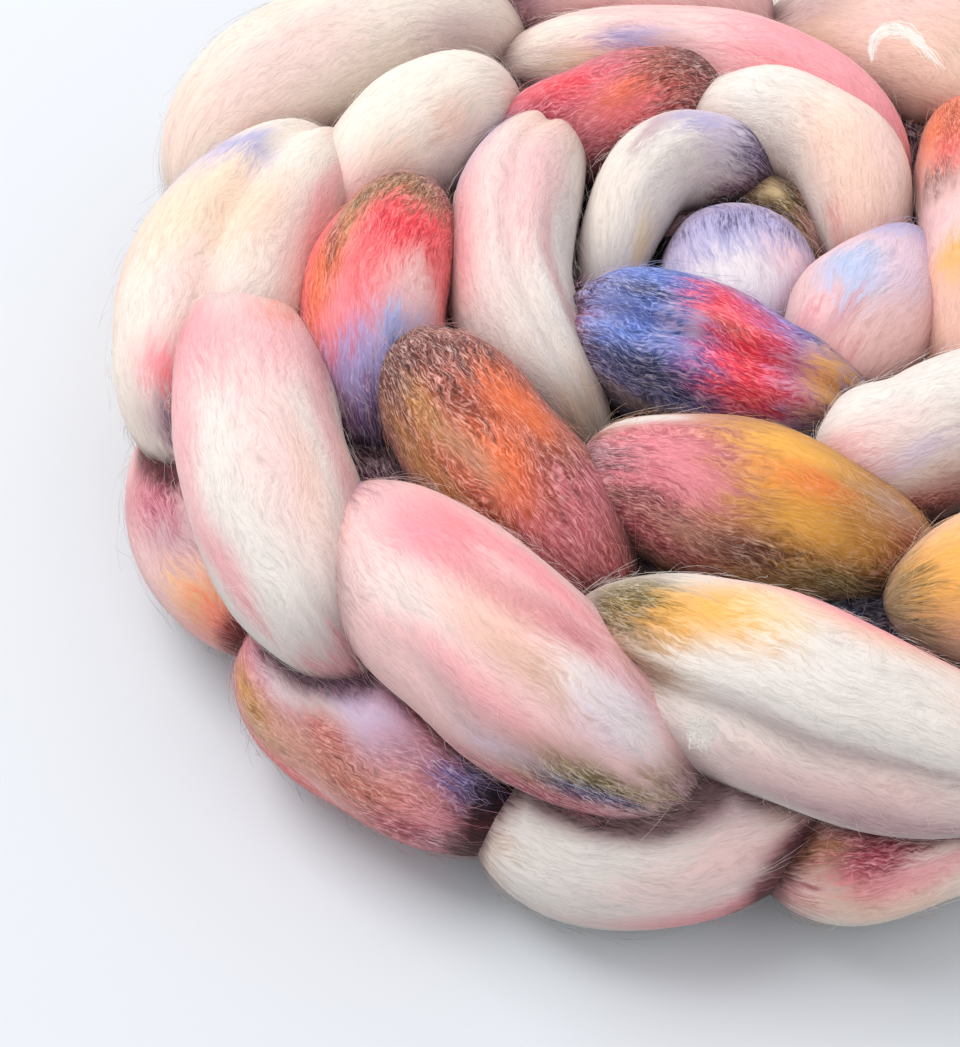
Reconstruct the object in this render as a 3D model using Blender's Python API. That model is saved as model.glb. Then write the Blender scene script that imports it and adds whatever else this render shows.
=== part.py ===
"""Coiled plait of wool roving: one chain-plaited strand wound into a flat spiral.

Run with: blender --background --python part.py

Every bight of the plaited strand is a rounded, arched lobe that dives under its neighbour at each
end. The lobes and the wool packed between them are joined into one solid, which is cut flat where
its weight presses it on the surface. Metres, +Z up, origin on the surface under the middle.
"""

import math
import random

import bmesh
import bpy
from mathutils import Vector

MM = 0.001
PART_NAME = "roving_coil"
SEED = 11

# Driving sizes, in millimetres and degrees.
SPIRAL_X, SPIRAL_Y = -5.4, 15.7  # the point that the spiral turns round
LOBE_SIDES, LOBE_RINGS = 14, 11  # facets round and along a lobe of LOBES
RING_SIDES, RING_RINGS = 11, 8  # the same for a lobe of the rim
UNDER_SIDES, UNDER_RINGS = 10, 7  # the same for a lobe of the underside
BLUNT = 2.6  # how square the ends of a lobe are; 2 would make it an ellipsoid
CREASE_SPREAD = 14.0  # degrees round the lobe that a crease takes to fade
FACE_PULL = 0.4  # how much closer together a lobe's facets lie on its face than behind it
PACKING_SIDES, PACKING_RINGS = 24, 6
PACKING_MARGIN = 10.0  # from the outer turn's upper row in to the rim of the packing
PACKING_LOW, PACKING_HIGH = 12.0, 31.0
SHORT_EDGE = 1.2  # edges shorter than this, where lobes meet, are closed up
FLOOR_DEPTH = 30.0  # height of the cutter under the surface
CURL_THICKNESS = 3.2
CURL_SIDES = 8
WOOL_COLOUR = (0.86, 0.72, 0.66, 1.0)
WOOL_ROUGHNESS = 0.9

# The outer turn's upper row lies at these radii, in millimetres, at these degrees round the spiral.
OUTER_TURN = (
    (0, 97), (22, 95), (48, 93), (75, 88), (100, 88), (139, 94), (185, 93), (217, 100),
    (250, 107), (276, 111), (312, 109), (345, 100), (360, 97),
)

# A lobe's centre line runs through three stations: its head, its middle and its tail. A station is
# an angle round the spiral in degrees, a radius and a height in millimetres. Width lies across the
# lobe and depth goes into the coil, both in millimetres. Tilt turns its face outwards, in degrees.
# A crease runs lengthwise at an angle round the lobe, 90 being the middle of its face and 0 the
# side nearer the rim, and is so many millimetres deep.
LOBES = (
    # name, head: deg r z, middle: deg r z, tail: deg r z, width, depth, tilt, crease: deg deep
    # outer turn, upper row on the outside
    ("outer_a", 114, 81, 40, 139, 94, 42, 164, 110, 32, 34, 34, 30, 100, 1.5),
    ("outer_b", 153, 82, 40, 185, 92, 42, 206, 106, 30, 40, 34, 30, 118, 3.5),
    ("outer_c", 185, 89, 40, 217, 100, 44, 237, 113, 30, 31, 34, 30, 90, 0),
    ("outer_d", 223, 90, 40, 250, 107, 44, 268, 119, 30, 35, 36, 30, 90, 0),
    ("outer_e", 255, 93, 40, 276, 111, 44, 296, 130, 30, 34, 36, 30, 60, 3.5),
    # outer turn, upper row on the inside
    ("inner_a", 24, 50, 38, 70, 61, 44, 122, 79, 36, 28, 32, 0, 90, 0),
    ("inner_b", 124, 59, 42, 152, 64, 43, 174, 71, 34, 28, 32, 0, 90, 0),
    ("inner_c", 162, 54, 40, 193, 63, 44, 218, 75, 28, 29, 32, 0, 90, 0),
    ("inner_d", 203, 61, 40, 236, 67, 44, 259, 81, 30, 29, 32, 0, 90, 0),
    ("inner_e", 248, 61, 40, 276, 67, 44, 301, 85, 30, 30, 32, 0, 90, 0),
    ("inner_f", 291, 59, 38, 310, 65, 42, 344, 75, 34, 28, 32, 0, 90, 0),
    ("inner_g", 327, 61, 36, 360, 59, 44, 400, 79, 36, 29, 32, 0, 90, 0),
    # outer turn, lower row on the outside
    ("lower_a", 191, 96, 20, 208, 104, 18, 226, 107, 16, 30, 34, 75, 90, 0),
    ("lower_b", 222, 112, 18, 239, 114, 17, 257, 118, 18, 30, 34, 75, 90, 0),
    ("lower_c", 249, 121, 16, 266, 118, 17, 284, 108, 24, 34, 36, 75, 90, 0),
    ("lower_d", 273, 126, 15, 287, 122, 17, 301, 122, 22, 30, 34, 75, 90, 0),
    # inner turn
    ("heart_a", 117, 47, 40, 188, 36, 42, 246, 44, 30, 26, 32, 0, 90, 2.0),
    ("heart_b", 55, 34, 38, 103, 24, 43, 203, 18, 34, 19, 24, 0, 90, 0),
    ("heart_c", 59, 22, 30, -21, 11, 34, -61, 22, 30, 32, 28, 0, 90, 0),
    ("heart_d", 308, 37, 36, 331, 37, 42, 369, 48, 36, 27, 30, 0, 90, 0),
    ("heart_e", 357, 35, 36, 406, 43, 42, 452, 43, 36, 24, 30, 0, 90, 0),
    ("heart_f", 209, 28, 38, 272, 29, 42, 314, 50, 34, 26, 32, 0, 57, 3.0),
    ("heart_g", 77, 53, 38, 109, 44, 42, 151, 51, 34, 24, 28, 0, 90, 0),
)

# Rings of lobes that nothing shows one by one, laid at even steps with a little unevenness. Out is
# how far they lie from the outer turn's upper row, and slant is how much farther out the tail lies
# than the head, both in millimetres. Reach is from the head to the tail, in degrees.
RINGS = (
    # name, first, last, lobes, out, slant, reach, z head, z middle, z tail, width, depth, tilt
    ("outer_far", 312, 380, 3, 0, 34, 42, 40, 44, 30, 34, 36, 30),
    ("outer_back", 100, 100, 1, -2, 26, 46, 38, 43, 32, 34, 34, 30),
    ("lower_far", 317, 407, 4, 10, 2, 37, 16, 17, 22, 31, 34, 75),
    ("lower_back", 78, 174, 4, 0, 4, 38, 16, 17, 20, 31, 34, 75),
    ("between", 8, 332, 10, -22, 10, 46, 22, 24, 20, 30, 28, 0),
    ("under_rim", 0, 330, 12, -12, 16, 44, 18, 15, 18, 38, 34, 180),
    ("under_mid", 20, 320, 7, -46, 14, 66, 18, 15, 18, 38, 34, 180),
)
RING_JITTER = {"angle": 2.5, "radius": 1.5, "height": 1.0, "size": 1.5}

# The middle of the underside and the strand's loose end, in the columns of LOBES.
ENDS = (
    ("under_middle", 205, 26, 18, 289, 16.6, 15, 10, 30, 18, 35, 34, 180, 90, 0),
    ("under_heart_a", 20, 38, 18, 75, 22, 15, 125, 34, 18, 34, 34, 180, 90, 0),
    ("under_heart_b", 122, 34, 18, 165, 22, 15, 218, 36, 18, 34, 34, 180, 90, 0),
    ("loose_end", 22, 108, 36, 48, 103, 38, 76, 88, 30, 36, 28, 20, 75, 2.5),
)

# The curl of roving on the loose end: degrees round the spiral, radius and height.
CURL_PATH = (
    (42, 88, 46),
    (47, 88, 52),
    (51, 92, 54),
    (51, 98, 54),
    (47, 101, 54),
    (42, 101, 52),
    (37, 103, 46),
)


def turn_radius(degrees):
    """The radius of the outer turn's upper row at an angle, between the two nearest of its table."""
    for (first, near), (last, far) in zip(OUTER_TURN, OUTER_TURN[1:]):
        if degrees % 360 <= last:
            return near + (far - near) * (degrees % 360 - first) / (last - first)


def polar(degrees, radius, height):
    """The point of the coil at an angle, a radius and a height, in metres."""
    angle = math.radians(degrees)
    return Vector((
        SPIRAL_X + radius * math.cos(angle),
        SPIRAL_Y + radius * math.sin(angle),
        height,
    )) * MM


def ring_rows():
    """Rows in the columns of LOBES for every lobe of RINGS."""
    dice = random.Random(SEED)

    def uneven(kind):
        return RING_JITTER[kind] * dice.uniform(-1, 1)

    rows = []
    for name, first, last, count, out, slant, reach, low, mid, end, width, depth, tilt in RINGS:
        for index in range(count):
            share = index / (count - 1) if count > 1 else 0
            angle = first + (last - first) * share + uneven("angle")
            radius = turn_radius(angle) + out + uneven("radius")
            lift = uneven("height")
            rows.append((
                f"{name}_{index + 1}",
                angle - reach / 2, radius - slant / 2, low + lift,
                angle, radius, mid + lift,
                angle + reach / 2, radius + slant / 2, end + lift,
                width + uneven("size"), depth + uneven("size"), tilt, 90, 0,
            ))
    return rows


def facets(row):
    """How many facets a lobe has round it and along it: fewer where less of it shows."""
    if row[0].startswith("under"):
        return UNDER_SIDES, UNDER_RINGS
    if row in LOBES:
        return LOBE_SIDES, LOBE_RINGS
    return RING_SIDES, RING_RINGS


def centre_line(row, share):
    """The point and the direction of a lobe's centre line at a share of its length, 0 to 1.

    The line is the parabola that passes through the row's three stations.
    """
    head, middle, tail = (polar(*row[first:first + 3]) for first in (1, 4, 7))
    turn = 2 * middle - 0.5 * (head + tail)  # the control point that makes it pass the middle
    rest = 1 - share
    point = rest * rest * head + 2 * rest * share * turn + share * share * tail
    direction = 2 * rest * (turn - head) + 2 * share * (tail - turn)
    return point, direction.normalized()


def shape_lobe(mesh, row, sides, rings):
    """Fills mesh with a sphere bent along the row's centre line, blunt at its ends and creased."""
    width, depth, tilt, crease_at, crease_deep = row[10:15]
    half_width, half_depth = width * MM / 2, depth * MM / 2
    middle, along = centre_line(row, 0.5)
    outward = Vector((middle.x - SPIRAL_X * MM, middle.y - SPIRAL_Y * MM, 0))
    outward = outward.normalized() if outward.length > MM else Vector((0, 1, 0))
    lean = math.radians(tilt)
    face = outward * math.sin(lean) + Vector((0, 0, 1)) * math.cos(lean)
    rim_side = 1 if along.cross(face).dot(outward) > 0 else -1
    cage = bmesh.new()
    bmesh.ops.create_uvsphere(cage, u_segments=sides, v_segments=rings, radius=1)
    for vertex in cage.verts:
        reach = max(-1.0, min(1.0, vertex.co.z))
        girth = (1 - abs(reach) ** BLUNT) ** 0.5
        facet = math.atan2(vertex.co.y, vertex.co.x)
        from_crease = facet - FACE_PULL * math.sin(facet)
        around = from_crease + math.radians(crease_at)
        fade = math.degrees(from_crease) / CREASE_SPREAD
        dent = crease_deep * MM * girth * math.exp(-fade * fade)
        point, direction = centre_line(row, 0.5 + 0.5 * reach)
        up = (face - direction * face.dot(direction)).normalized()
        across = direction.cross(up) * rim_side
        vertex.co = (
            point
            + across * ((half_width * girth - dent) * math.cos(around))
            + up * ((half_depth * girth - dent) * math.sin(around))
        )
    bmesh.ops.recalc_face_normals(cage, faces=cage.faces)
    cage.to_mesh(mesh)
    cage.free()


def packing_mesh(mesh):
    """A cushion inside the coil, for the wool that fills it between the lobes."""
    middle = (PACKING_LOW + PACKING_HIGH) / 2
    half = (PACKING_HIGH - PACKING_LOW) / 2
    cage = bmesh.new()
    bmesh.ops.create_uvsphere(cage, u_segments=PACKING_SIDES, v_segments=PACKING_RINGS, radius=1)
    for vertex in cage.verts:
        around = math.degrees(math.atan2(vertex.co.y, vertex.co.x)) % 360
        level = max(-1.0, min(1.0, vertex.co.z))
        reach = (1 - level ** 4) ** 0.5 * (turn_radius(around) - PACKING_MARGIN)
        vertex.co = polar(around, reach, middle + half * level)
    bmesh.ops.recalc_face_normals(cage, faces=cage.faces)
    cage.to_mesh(mesh)
    cage.free()


def add_curl(collection):
    """The small loop of roving that stands on the loose end."""
    curve = bpy.data.curves.new("curl", "CURVE")
    curve.dimensions = "3D"
    curve.bevel_depth = CURL_THICKNESS * MM / 2
    curve.bevel_resolution = CURL_SIDES // 4
    curve.use_fill_caps = True
    curve.resolution_u = 4
    spline = curve.splines.new("NURBS")
    spline.points.add(len(CURL_PATH) - 1)
    for point, station in zip(spline.points, CURL_PATH):
        point.co = (*polar(*station), 1)
    spline.use_endpoint_u = True
    spline.order_u = 4
    path = bpy.data.objects.new("curl_path", curve)
    mesh = bpy.data.meshes.new_from_object(path)
    bpy.data.objects.remove(path)
    cage = bmesh.new()
    cage.from_mesh(mesh)
    bmesh.ops.remove_doubles(cage, verts=cage.verts, dist=1e-5)
    bmesh.ops.recalc_face_normals(cage, faces=cage.faces)
    cage.to_mesh(mesh)
    cage.free()
    collection.objects.link(bpy.data.objects.new("curl", mesh))


def add_floor_cutter(collection):
    """A block whose top is the surface that the coil lies on."""
    mesh = bpy.data.meshes.new("floor_cutter")
    cage = bmesh.new()
    bmesh.ops.create_cube(cage, size=1)
    for vertex in cage.verts:
        vertex.co.x *= 0.5
        vertex.co.y *= 0.5
        vertex.co.z = (vertex.co.z - 0.5) * FLOOR_DEPTH * MM
    cage.to_mesh(mesh)
    cage.free()
    cutter = bpy.data.objects.new("floor_cutter", mesh)
    collection.objects.link(cutter)
    return cutter


def drop_buried_shells(mesh):
    """Keeps only the outer skin of a mesh, with no hollow sealed inside it."""
    cage = bmesh.new()
    cage.from_mesh(mesh)
    left = set(cage.verts)
    skins = []
    while left:
        seed = left.pop()
        skin, edge = {seed}, [seed]
        while edge:
            vertex = edge.pop()
            for link in vertex.link_edges:
                other = link.other_vert(vertex)
                if other in left:
                    left.remove(other)
                    skin.add(other)
                    edge.append(other)
        skins.append(skin)
    skins.sort(key=len)
    for skin in skins[:-1]:
        bmesh.ops.delete(cage, geom=list(skin), context="VERTS")
    cage.to_mesh(mesh)
    cage.free()


def by_length(edge):
    """A key that puts edges in the same order each time: by length, then by place."""
    first, second = edge.verts
    return round(edge.calc_length(), 7), (first.co + second.co).to_tuple(5)


def close_short_edges(mesh):
    """Merges the ends of each short edge, which leaves the skin closed where they share two others."""
    cage = bmesh.new()
    cage.from_mesh(mesh)
    bmesh.ops.triangulate(cage, faces=cage.faces)
    while True:
        merged, touched = {}, set()
        for edge in sorted(cage.edges, key=by_length):
            if edge.calc_length() > SHORT_EDGE * MM:
                break
            low, high = sorted(edge.verts, key=lambda vertex: vertex.co.zyx.to_tuple(6))
            by_low = {link.other_vert(low) for link in low.link_edges}
            by_high = {link.other_vert(high) for link in high.link_edges}
            if len(by_low & by_high) == 2 and not (by_low | by_high) & touched:
                touched |= by_low | by_high
                merged[high] = low
        if not merged:
            break
        bmesh.ops.weld_verts(cage, targetmap=merged)
    cage.to_mesh(mesh)
    cage.free()


def wool_material():
    material = bpy.data.materials.new("wool")
    material.use_nodes = True
    shader = material.node_tree.nodes["Principled BSDF"]
    shader.inputs["Base Color"].default_value = WOOL_COLOUR
    shader.inputs["Roughness"].default_value = WOOL_ROUGHNESS
    return material


def main():
    for old in list(bpy.data.objects):
        bpy.data.objects.remove(old)
    helpers = bpy.data.collections.new("helpers")
    lobes = bpy.data.collections.new("lobes")
    for collection in (helpers, lobes):
        bpy.context.scene.collection.children.link(collection)
    for row in [*LOBES, *ENDS, *ring_rows()]:
        mesh = bpy.data.meshes.new(row[0])
        shape_lobe(mesh, row, *facets(row))
        lobes.objects.link(bpy.data.objects.new(row[0], mesh))
    add_curl(lobes)
    cutter = add_floor_cutter(helpers)

    mesh = bpy.data.meshes.new(PART_NAME)
    packing_mesh(mesh)
    coil = bpy.data.objects.new(PART_NAME, mesh)
    bpy.context.scene.collection.objects.link(coil)
    join = coil.modifiers.new("join", "BOOLEAN")
    join.solver = "EXACT"
    join.operation = "UNION"
    join.operand_type = "COLLECTION"
    join.collection = lobes
    cut = coil.modifiers.new("cut", "BOOLEAN")
    cut.solver = "EXACT"
    cut.operation = "DIFFERENCE"
    cut.object = cutter

    graph = bpy.context.evaluated_depsgraph_get()
    solid = bpy.data.meshes.new_from_object(coil.evaluated_get(graph))
    coil.modifiers.clear()
    coil.data = solid
    drop_buried_shells(solid)
    close_short_edges(solid)
    solid.name = PART_NAME
    solid.materials.clear()
    solid.materials.append(wool_material())
    for helper in list(helpers.objects) + list(lobes.objects):
        helper.hide_render = True
        helper.display_type = "WIRE"
    helpers.hide_render = lobes.hide_render = True


if __name__ == "__main__":
    main()
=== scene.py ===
"""Wool roving coil: the looks of one hand-dyed, chain-plaited hank wound into a flat spiral.

Laid out as an add-on. Run as a script it builds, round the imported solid, every bight of the strand
as a lobe with its combed locks, the dye, the combed and the stray fibres, and the stage. Metres.
"""

import math
import random
from types import SimpleNamespace

import bpy
import numpy as np
from bpy.props import FloatProperty, FloatVectorProperty, IntProperty, PointerProperty
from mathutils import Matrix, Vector


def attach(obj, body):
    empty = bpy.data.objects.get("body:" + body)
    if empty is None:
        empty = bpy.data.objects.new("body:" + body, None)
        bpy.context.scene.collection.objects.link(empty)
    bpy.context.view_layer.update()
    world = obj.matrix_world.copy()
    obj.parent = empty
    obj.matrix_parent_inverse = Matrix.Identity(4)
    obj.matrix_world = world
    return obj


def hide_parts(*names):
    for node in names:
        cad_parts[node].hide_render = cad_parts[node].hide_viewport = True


bl_info = {
    "name": "Wool roving coil",
    "version": (1, 0, 0),
    "blender": (4, 5, 0),
    "location": "View3D > Sidebar > Roving",
    "description": "Builds a dyed, plaited coil of combed wool with its fibres",
    "category": "Add Mesh",
}

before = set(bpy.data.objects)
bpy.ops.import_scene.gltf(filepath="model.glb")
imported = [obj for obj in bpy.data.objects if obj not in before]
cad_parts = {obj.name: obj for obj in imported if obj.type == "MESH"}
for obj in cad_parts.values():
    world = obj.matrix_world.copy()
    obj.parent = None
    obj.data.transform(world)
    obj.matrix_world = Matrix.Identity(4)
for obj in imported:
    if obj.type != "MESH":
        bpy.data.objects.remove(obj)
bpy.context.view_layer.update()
NODE, BODY = "roving_coil", "root"

MM = 0.001
TURN = 2 * math.pi
PER_SQUARE_CM = 1e4  # to a square metre

# The first seed of each kind of noise and dice. A lobe or a piece adds its own number to it.
SEED = 11
RELIEF_SEED, DYE_SEED, PATCH_SEED = SEED * 100, SEED * 500, SEED * 1000
COMBED_SEED, FRIZZ_SEED, CURL_SEED, TUFT_SEED = SEED, SEED * 7, SEED + 40, SEED + 50
SEEDS_TO_A_LOBE = 10  # how far apart the seeds of two lobes are that have several noises each

# The coil's build in millimetres and degrees. The rows are those of its solid, except that
# inner_a and loose_end lie further in here and have other widths, and heart_low is added.
SPIRAL_X, SPIRAL_Y = -5.4, 15.7
BLUNT = 2.6  # how blunt a lobe's ends are: the power of its girth's curve
OUTER_TURN = (
    (0, 97), (22, 95), (48, 93), (75, 88), (100, 88), (139, 94), (185, 93), (217, 100),
    (250, 107), (276, 111), (312, 109), (345, 100), (360, 97),
)
PACKING_MARGIN = 10.0  # how far inside the outer turn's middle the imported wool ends
PACKING_LOW, PACKING_HIGH = 12.0, 31.0
LOBES = (
    # name, head: deg r z, middle: deg r z, tail: deg r z, width, depth, tilt, crease: deg deep
    # outer turn, upper row on the outside
    ("outer_a", 114, 81, 40, 139, 94, 42, 164, 110, 32, 34, 34, 30, 100, 1.5),
    ("outer_b", 153, 82, 40, 185, 92, 42, 206, 106, 30, 40, 34, 30, 118, 3.5),
    ("outer_c", 185, 89, 40, 217, 100, 44, 237, 113, 30, 31, 34, 30, 90, 0),
    ("outer_d", 223, 90, 40, 250, 107, 44, 268, 119, 30, 35, 36, 30, 90, 0),
    ("outer_e", 255, 93, 40, 276, 111, 44, 296, 130, 30, 34, 36, 30, 60, 3.5),
    # outer turn, upper row on the inside
    ("inner_a", 24, 47, 36, 70, 55.5, 41.5, 122, 77, 36, 24, 30, 0, 90, 0),
    ("inner_b", 124, 59, 42, 152, 64, 43, 174, 71, 34, 28, 32, 0, 90, 0),
    ("inner_c", 162, 54, 40, 193, 63, 44, 218, 75, 28, 29, 32, 0, 90, 0),
    ("inner_d", 203, 61, 40, 236, 67, 44, 259, 81, 30, 29, 32, 0, 90, 0),
    ("inner_e", 248, 61, 40, 276, 67, 44, 301, 85, 30, 30, 32, 0, 90, 0),
    ("inner_f", 291, 59, 38, 310, 65, 42, 344, 75, 34, 28, 32, 0, 90, 0),
    ("inner_g", 327, 61, 36, 360, 59, 44, 400, 79, 36, 29, 32, 0, 90, 0),
    # outer turn, lower row on the outside
    ("lower_a", 191, 96, 20, 208, 104, 18, 226, 107, 16, 30, 34, 75, 90, 0),
    ("lower_b", 222, 112, 18, 239, 114, 17, 257, 118, 18, 30, 34, 75, 90, 0),
    ("lower_c", 249, 121, 16, 266, 118, 17, 284, 108, 24, 34, 36, 75, 90, 0),
    ("lower_d", 273, 126, 15, 287, 122, 17, 301, 122, 22, 30, 34, 75, 90, 0),
    # inner turn
    ("heart_a", 117, 47, 40, 188, 36, 42, 246, 44, 30, 26, 32, 0, 90, 2.0),
    ("heart_b", 55, 34, 38, 103, 24, 43, 203, 18, 34, 19, 24, 0, 90, 0),
    ("heart_c", 59, 22, 30, -21, 11, 34, -61, 22, 30, 32, 28, 0, 90, 0),
    ("heart_d", 308, 37, 36, 331, 37, 42, 369, 48, 36, 27, 30, 0, 90, 0),
    ("heart_e", 357, 35, 36, 406, 43, 42, 452, 43, 36, 24, 30, 0, 90, 0),
    ("heart_f", 209, 28, 38, 272, 29, 42, 314, 50, 34, 26, 32, 0, 57, 3.0),
    ("heart_g", 77, 53, 38, 109, 44, 42, 151, 51, 34, 24, 28, 0, 90, 0),
)
RINGS = (
    # name, first, last, lobes, out, slant, reach, z head, z middle, z tail, width, depth, tilt
    ("outer_far", 312, 380, 3, 0, 34, 42, 40, 44, 30, 34, 36, 30),
    ("outer_back", 100, 100, 1, -2, 26, 46, 38, 43, 32, 34, 34, 30),
    ("lower_far", 317, 407, 4, 10, 2, 37, 16, 17, 22, 31, 34, 75),
    ("lower_back", 78, 174, 4, 0, 4, 38, 16, 17, 20, 31, 34, 75),
    ("between", 8, 332, 10, -22, 10, 46, 22, 24, 20, 30, 28, 0),
    ("under_rim", 0, 330, 12, -12, 16, 44, 18, 15, 18, 38, 34, 180),
    ("under_mid", 20, 320, 7, -46, 14, 66, 18, 15, 18, 38, 34, 180),
)
RING_JITTER = {"angle": 2.5, "radius": 1.5, "height": 1.0, "size": 1.5}
ENDS = (
    ("under_middle", 205, 26, 18, 289, 16.6, 15, 10, 30, 18, 35, 34, 180, 90, 0),
    ("under_heart_a", 20, 38, 18, 75, 22, 15, 125, 34, 18, 34, 34, 180, 90, 0),
    ("under_heart_b", 122, 34, 18, 165, 22, 15, 218, 36, 18, 34, 34, 180, 90, 0),
    ("loose_end", 22, 95, 36, 48, 88, 39, 76, 80, 33, 46, 30, 20, 75, 2.5),
)
# A low strand of the heart that shows between two of its loops.
LOW_STRANDS = (
    ("heart_low", 75, 31, 31, 45, 30, 33, 5, 33, 30, 16, 16, 0, 90, 0),
)
# The curl's line over the loose end: degrees, radius and height of each of its knots.
CURL_PATH = (
    (51.0, 65.0, 48.6), (52.3, 66.0, 50.9), (52.6, 68.0, 53.0), (51.0, 70.0, 54.8),
    (48.3, 70.6, 55.4), (45.0, 70.4, 54.8), (41.2, 70.0, 53.0), (37.7, 70.0, 50.0),
)
TUFT_PLACE = ("outer_e", 0.38, 48, 2.2)  # lobe, share along, degrees round, millimetres off it

# The pieces: the lobes whose names start so, and the points round and along each of them.
LOBE_PIECES = {
    "outer_loops": (("outer_",), 84, 42),
    "inner_loops": (("inner_",), 80, 42),
    "heart_loops": (("heart_",), 80, 40),
    "lower_loops": (("lower_",), 72, 34),
    "loose_end_loop": (("loose_end",), 80, 40),
    "between_loops": (("between_",), 48, 24),
    "under_loops": (("under_",), 36, 18),
}

# A lobe's form. Each noise on it has so many random numbers round it and so many along it.
LOCK_GRID, LUMP_GRID, SWELL_GRID = (9, 3), (8, 7), (3, 4)
LOCK_SOFTNESS, LOCK_MEAN = 0.22, 0.45  # how round the grooves are, and the mean height of a lock
CREASE_SPREAD = 11.0  # degrees
END_DROP = 4.5  # millimetres that a lobe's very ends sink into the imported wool, away from its face
END_SHARPNESS = 8  # the power by which that drop comes late
LENGTH_POINTS = 33  # points along a lobe between which its length is measured
LEAST_GIRTH = 0.05  # keeps the slope of a lobe's very tips in bounds
FLOOR_SOFTNESS = 0.7  # millimetres over which a lobe flattens where it lies on the surface
# How far the locks wind round a lobe from its head to its tail, in turns.
DEFAULT_TWIST = 0.06
TWIST = {"lower_c": 0.12, "heart_c": 0.1, "heart_d": -0.08, "outer_d": 0.1}
LAY_GAP = 0.13  # how far apart the lobes lie in the pattern, so that no two are alike
FLAT_MAP = "OFBake"
TILE_GAP = 0.02  # share of a tile of the flat map that stays free on each side

# How the dye runs: along the fibres by a fine and a coarse noise, and round them by degrees.
BLEED_GRID, COARSE_BLEED_GRID, COARSE_BLEED = (60, 5), (17, 4), 1.2
DRIFT_GRID, DRIFT = (9, 7), 7
DYE_STEP = 2.2  # millimetres behind and ahead of a place that its fibres take their dyes from
UNDYED = (0.95, 0.88, 0.83)
LUMINANCE = (0.21, 0.72, 0.07)  # how much red, green and blue add to lightness
PALE_LIGHT = 0.5  # a dye that is lighter than this counts as pale
TINT_POWER = 0.55  # below 1, so that a fibre near undyed keeps a weaker tint of its dye

# Balls along a lobe's core tell which places other lobes cover or crowd.
BALLS, BALLS_FROM = 13, 0.06  # how many, and at which share along the first one is
COVER = 0.3  # millimetres under a ball's surface that still show
SKIN_SHARE = 0.85  # a lobe's surface over its length times its girth round
FIBRES_FROM = 0.03  # share along at which the first fibres stand

# What the dice choose from for each fibre. Pairs are the least and the most, lengths are in
# millimetres, and of a rarity, which is a power, the higher lets fewer come near the most.
COMBED = SimpleNamespace(
    stations=11,
    reach=(0.5, 1.5),  # of the mean length
    slope=0.16,  # how much its slope against the lay varies
    crimp=(0.4, 1.3),  # of the crimp's height
    free_end=1.1, free_rarity=4, free_bow=3,  # how far an end stands off, and how late it bows
    lift=0.02, lift_more=0.12, crimp_lift=0.4,  # the last is a share of its crimp
    clear=0.015,  # share of the lobe that it keeps off both tips
    tone=(0.2, 0.5), tone_on_dark=0.25,  # how far it goes towards undyed wool: partly paler fibres, partly painted light
    width=(0.6, 1.3),
)
FRIZZ = SimpleNamespace(
    stations=8,
    kept_on_pale=0.5,
    length=(2.5, 8),
    heading=0.7,  # how much its direction varies, in radians from the lobe's own
    turns=(0.2, 1.0), wide=(0.15, 1.0),  # of the loop that it winds in
    rise=2.0, rise_rarity=1.5, rise_bend=0.7,
    lift=0.06, loop_lift=0.35, loop_turns=0.7,
    clear=0.01,
    one_far_in=7, far_longer=1.2, far_higher=0.8, far_darker=0.25,  # light goes through these
    tone=(0.2, 0.6), tone_on_dark=0.35,
    shade=0.7,  # of the painted crevice shade that the wool below it has
    width=(0.6, 1.2),
)
CURL = SimpleNamespace(
    stations=30,
    start=(0, 0.35), reach=(0.45, 0.65),  # shares of the curl's line
    across=(0.2, 0.1, 1.0),  # a direction that the line never takes
    fray=1.6, fray_rarity=4, crowding=0.5, least=0.55,
    wobble=0.12, wobbles=9, winding=0.9,
    tone=(0.9, 1.05), width=(0.14, 0.3),
)
TUFT = SimpleNamespace(
    stations=16, turns=(0.4, 1.6), size=(0.3, 1.0), drift=0.35, flatness=0.7,
    tone=(0.6, 0.95), width=(0.06, 0.12),
)
FIBRE_SIDE = (0.31, 0.22, 0.93)  # a direction that hardly any fibre takes
FIBRE_TAPER = 0.4  # how blunt a fibre's ends are
FIBRE_ROUNDNESS = 0.4  # how much of a fibre's own roundness its normals keep
WISP_FACING = (-0.25, -0.25, 0.94)  # where the fibres of the curl and the tuft face

# The wool's shader. A noise is drawn out along the lay: it has so many waves to a metre along
# the fibres and across them, and the last number keeps the lobes apart.
WANDER_WAVES, FINE_WAVES, COARSE_WAVES = (70, 110, 7), (430, 3000, 7), (130, 800, 7)
WAVE_LENGTH, WAVE_HEIGHT = 3.2 * MM, 0.11 * MM  # the crimp of the fibres that lie in the surface
WANDER_PHASE, WANDER_REACH = 40, 8 * MM  # how far slow noise shifts the crimp, and the lay
DYE_CHOICE = (0.36, 0.64)  # between which values of the noise one dye gives way to the other
DARK_BELOW = 0.45  # a dye is dark from this lightness down
PALE_GAIN, PALE_SHARE, PALE_SHARE_ON_DARK = 1.6, 0.2, 0.2  # of a pale fibre's back on the surface: partly its paler colour, partly painted highlight
CURLY_LAYERS = ((640.0, 3.0), (940.0, 5.0))  # waves to a metre and an offset for each
CURLY_STRETCH, CURLY_EDGE = 0.36, (0.01, 0.045)  # how far drawn out, and where a line fades
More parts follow.
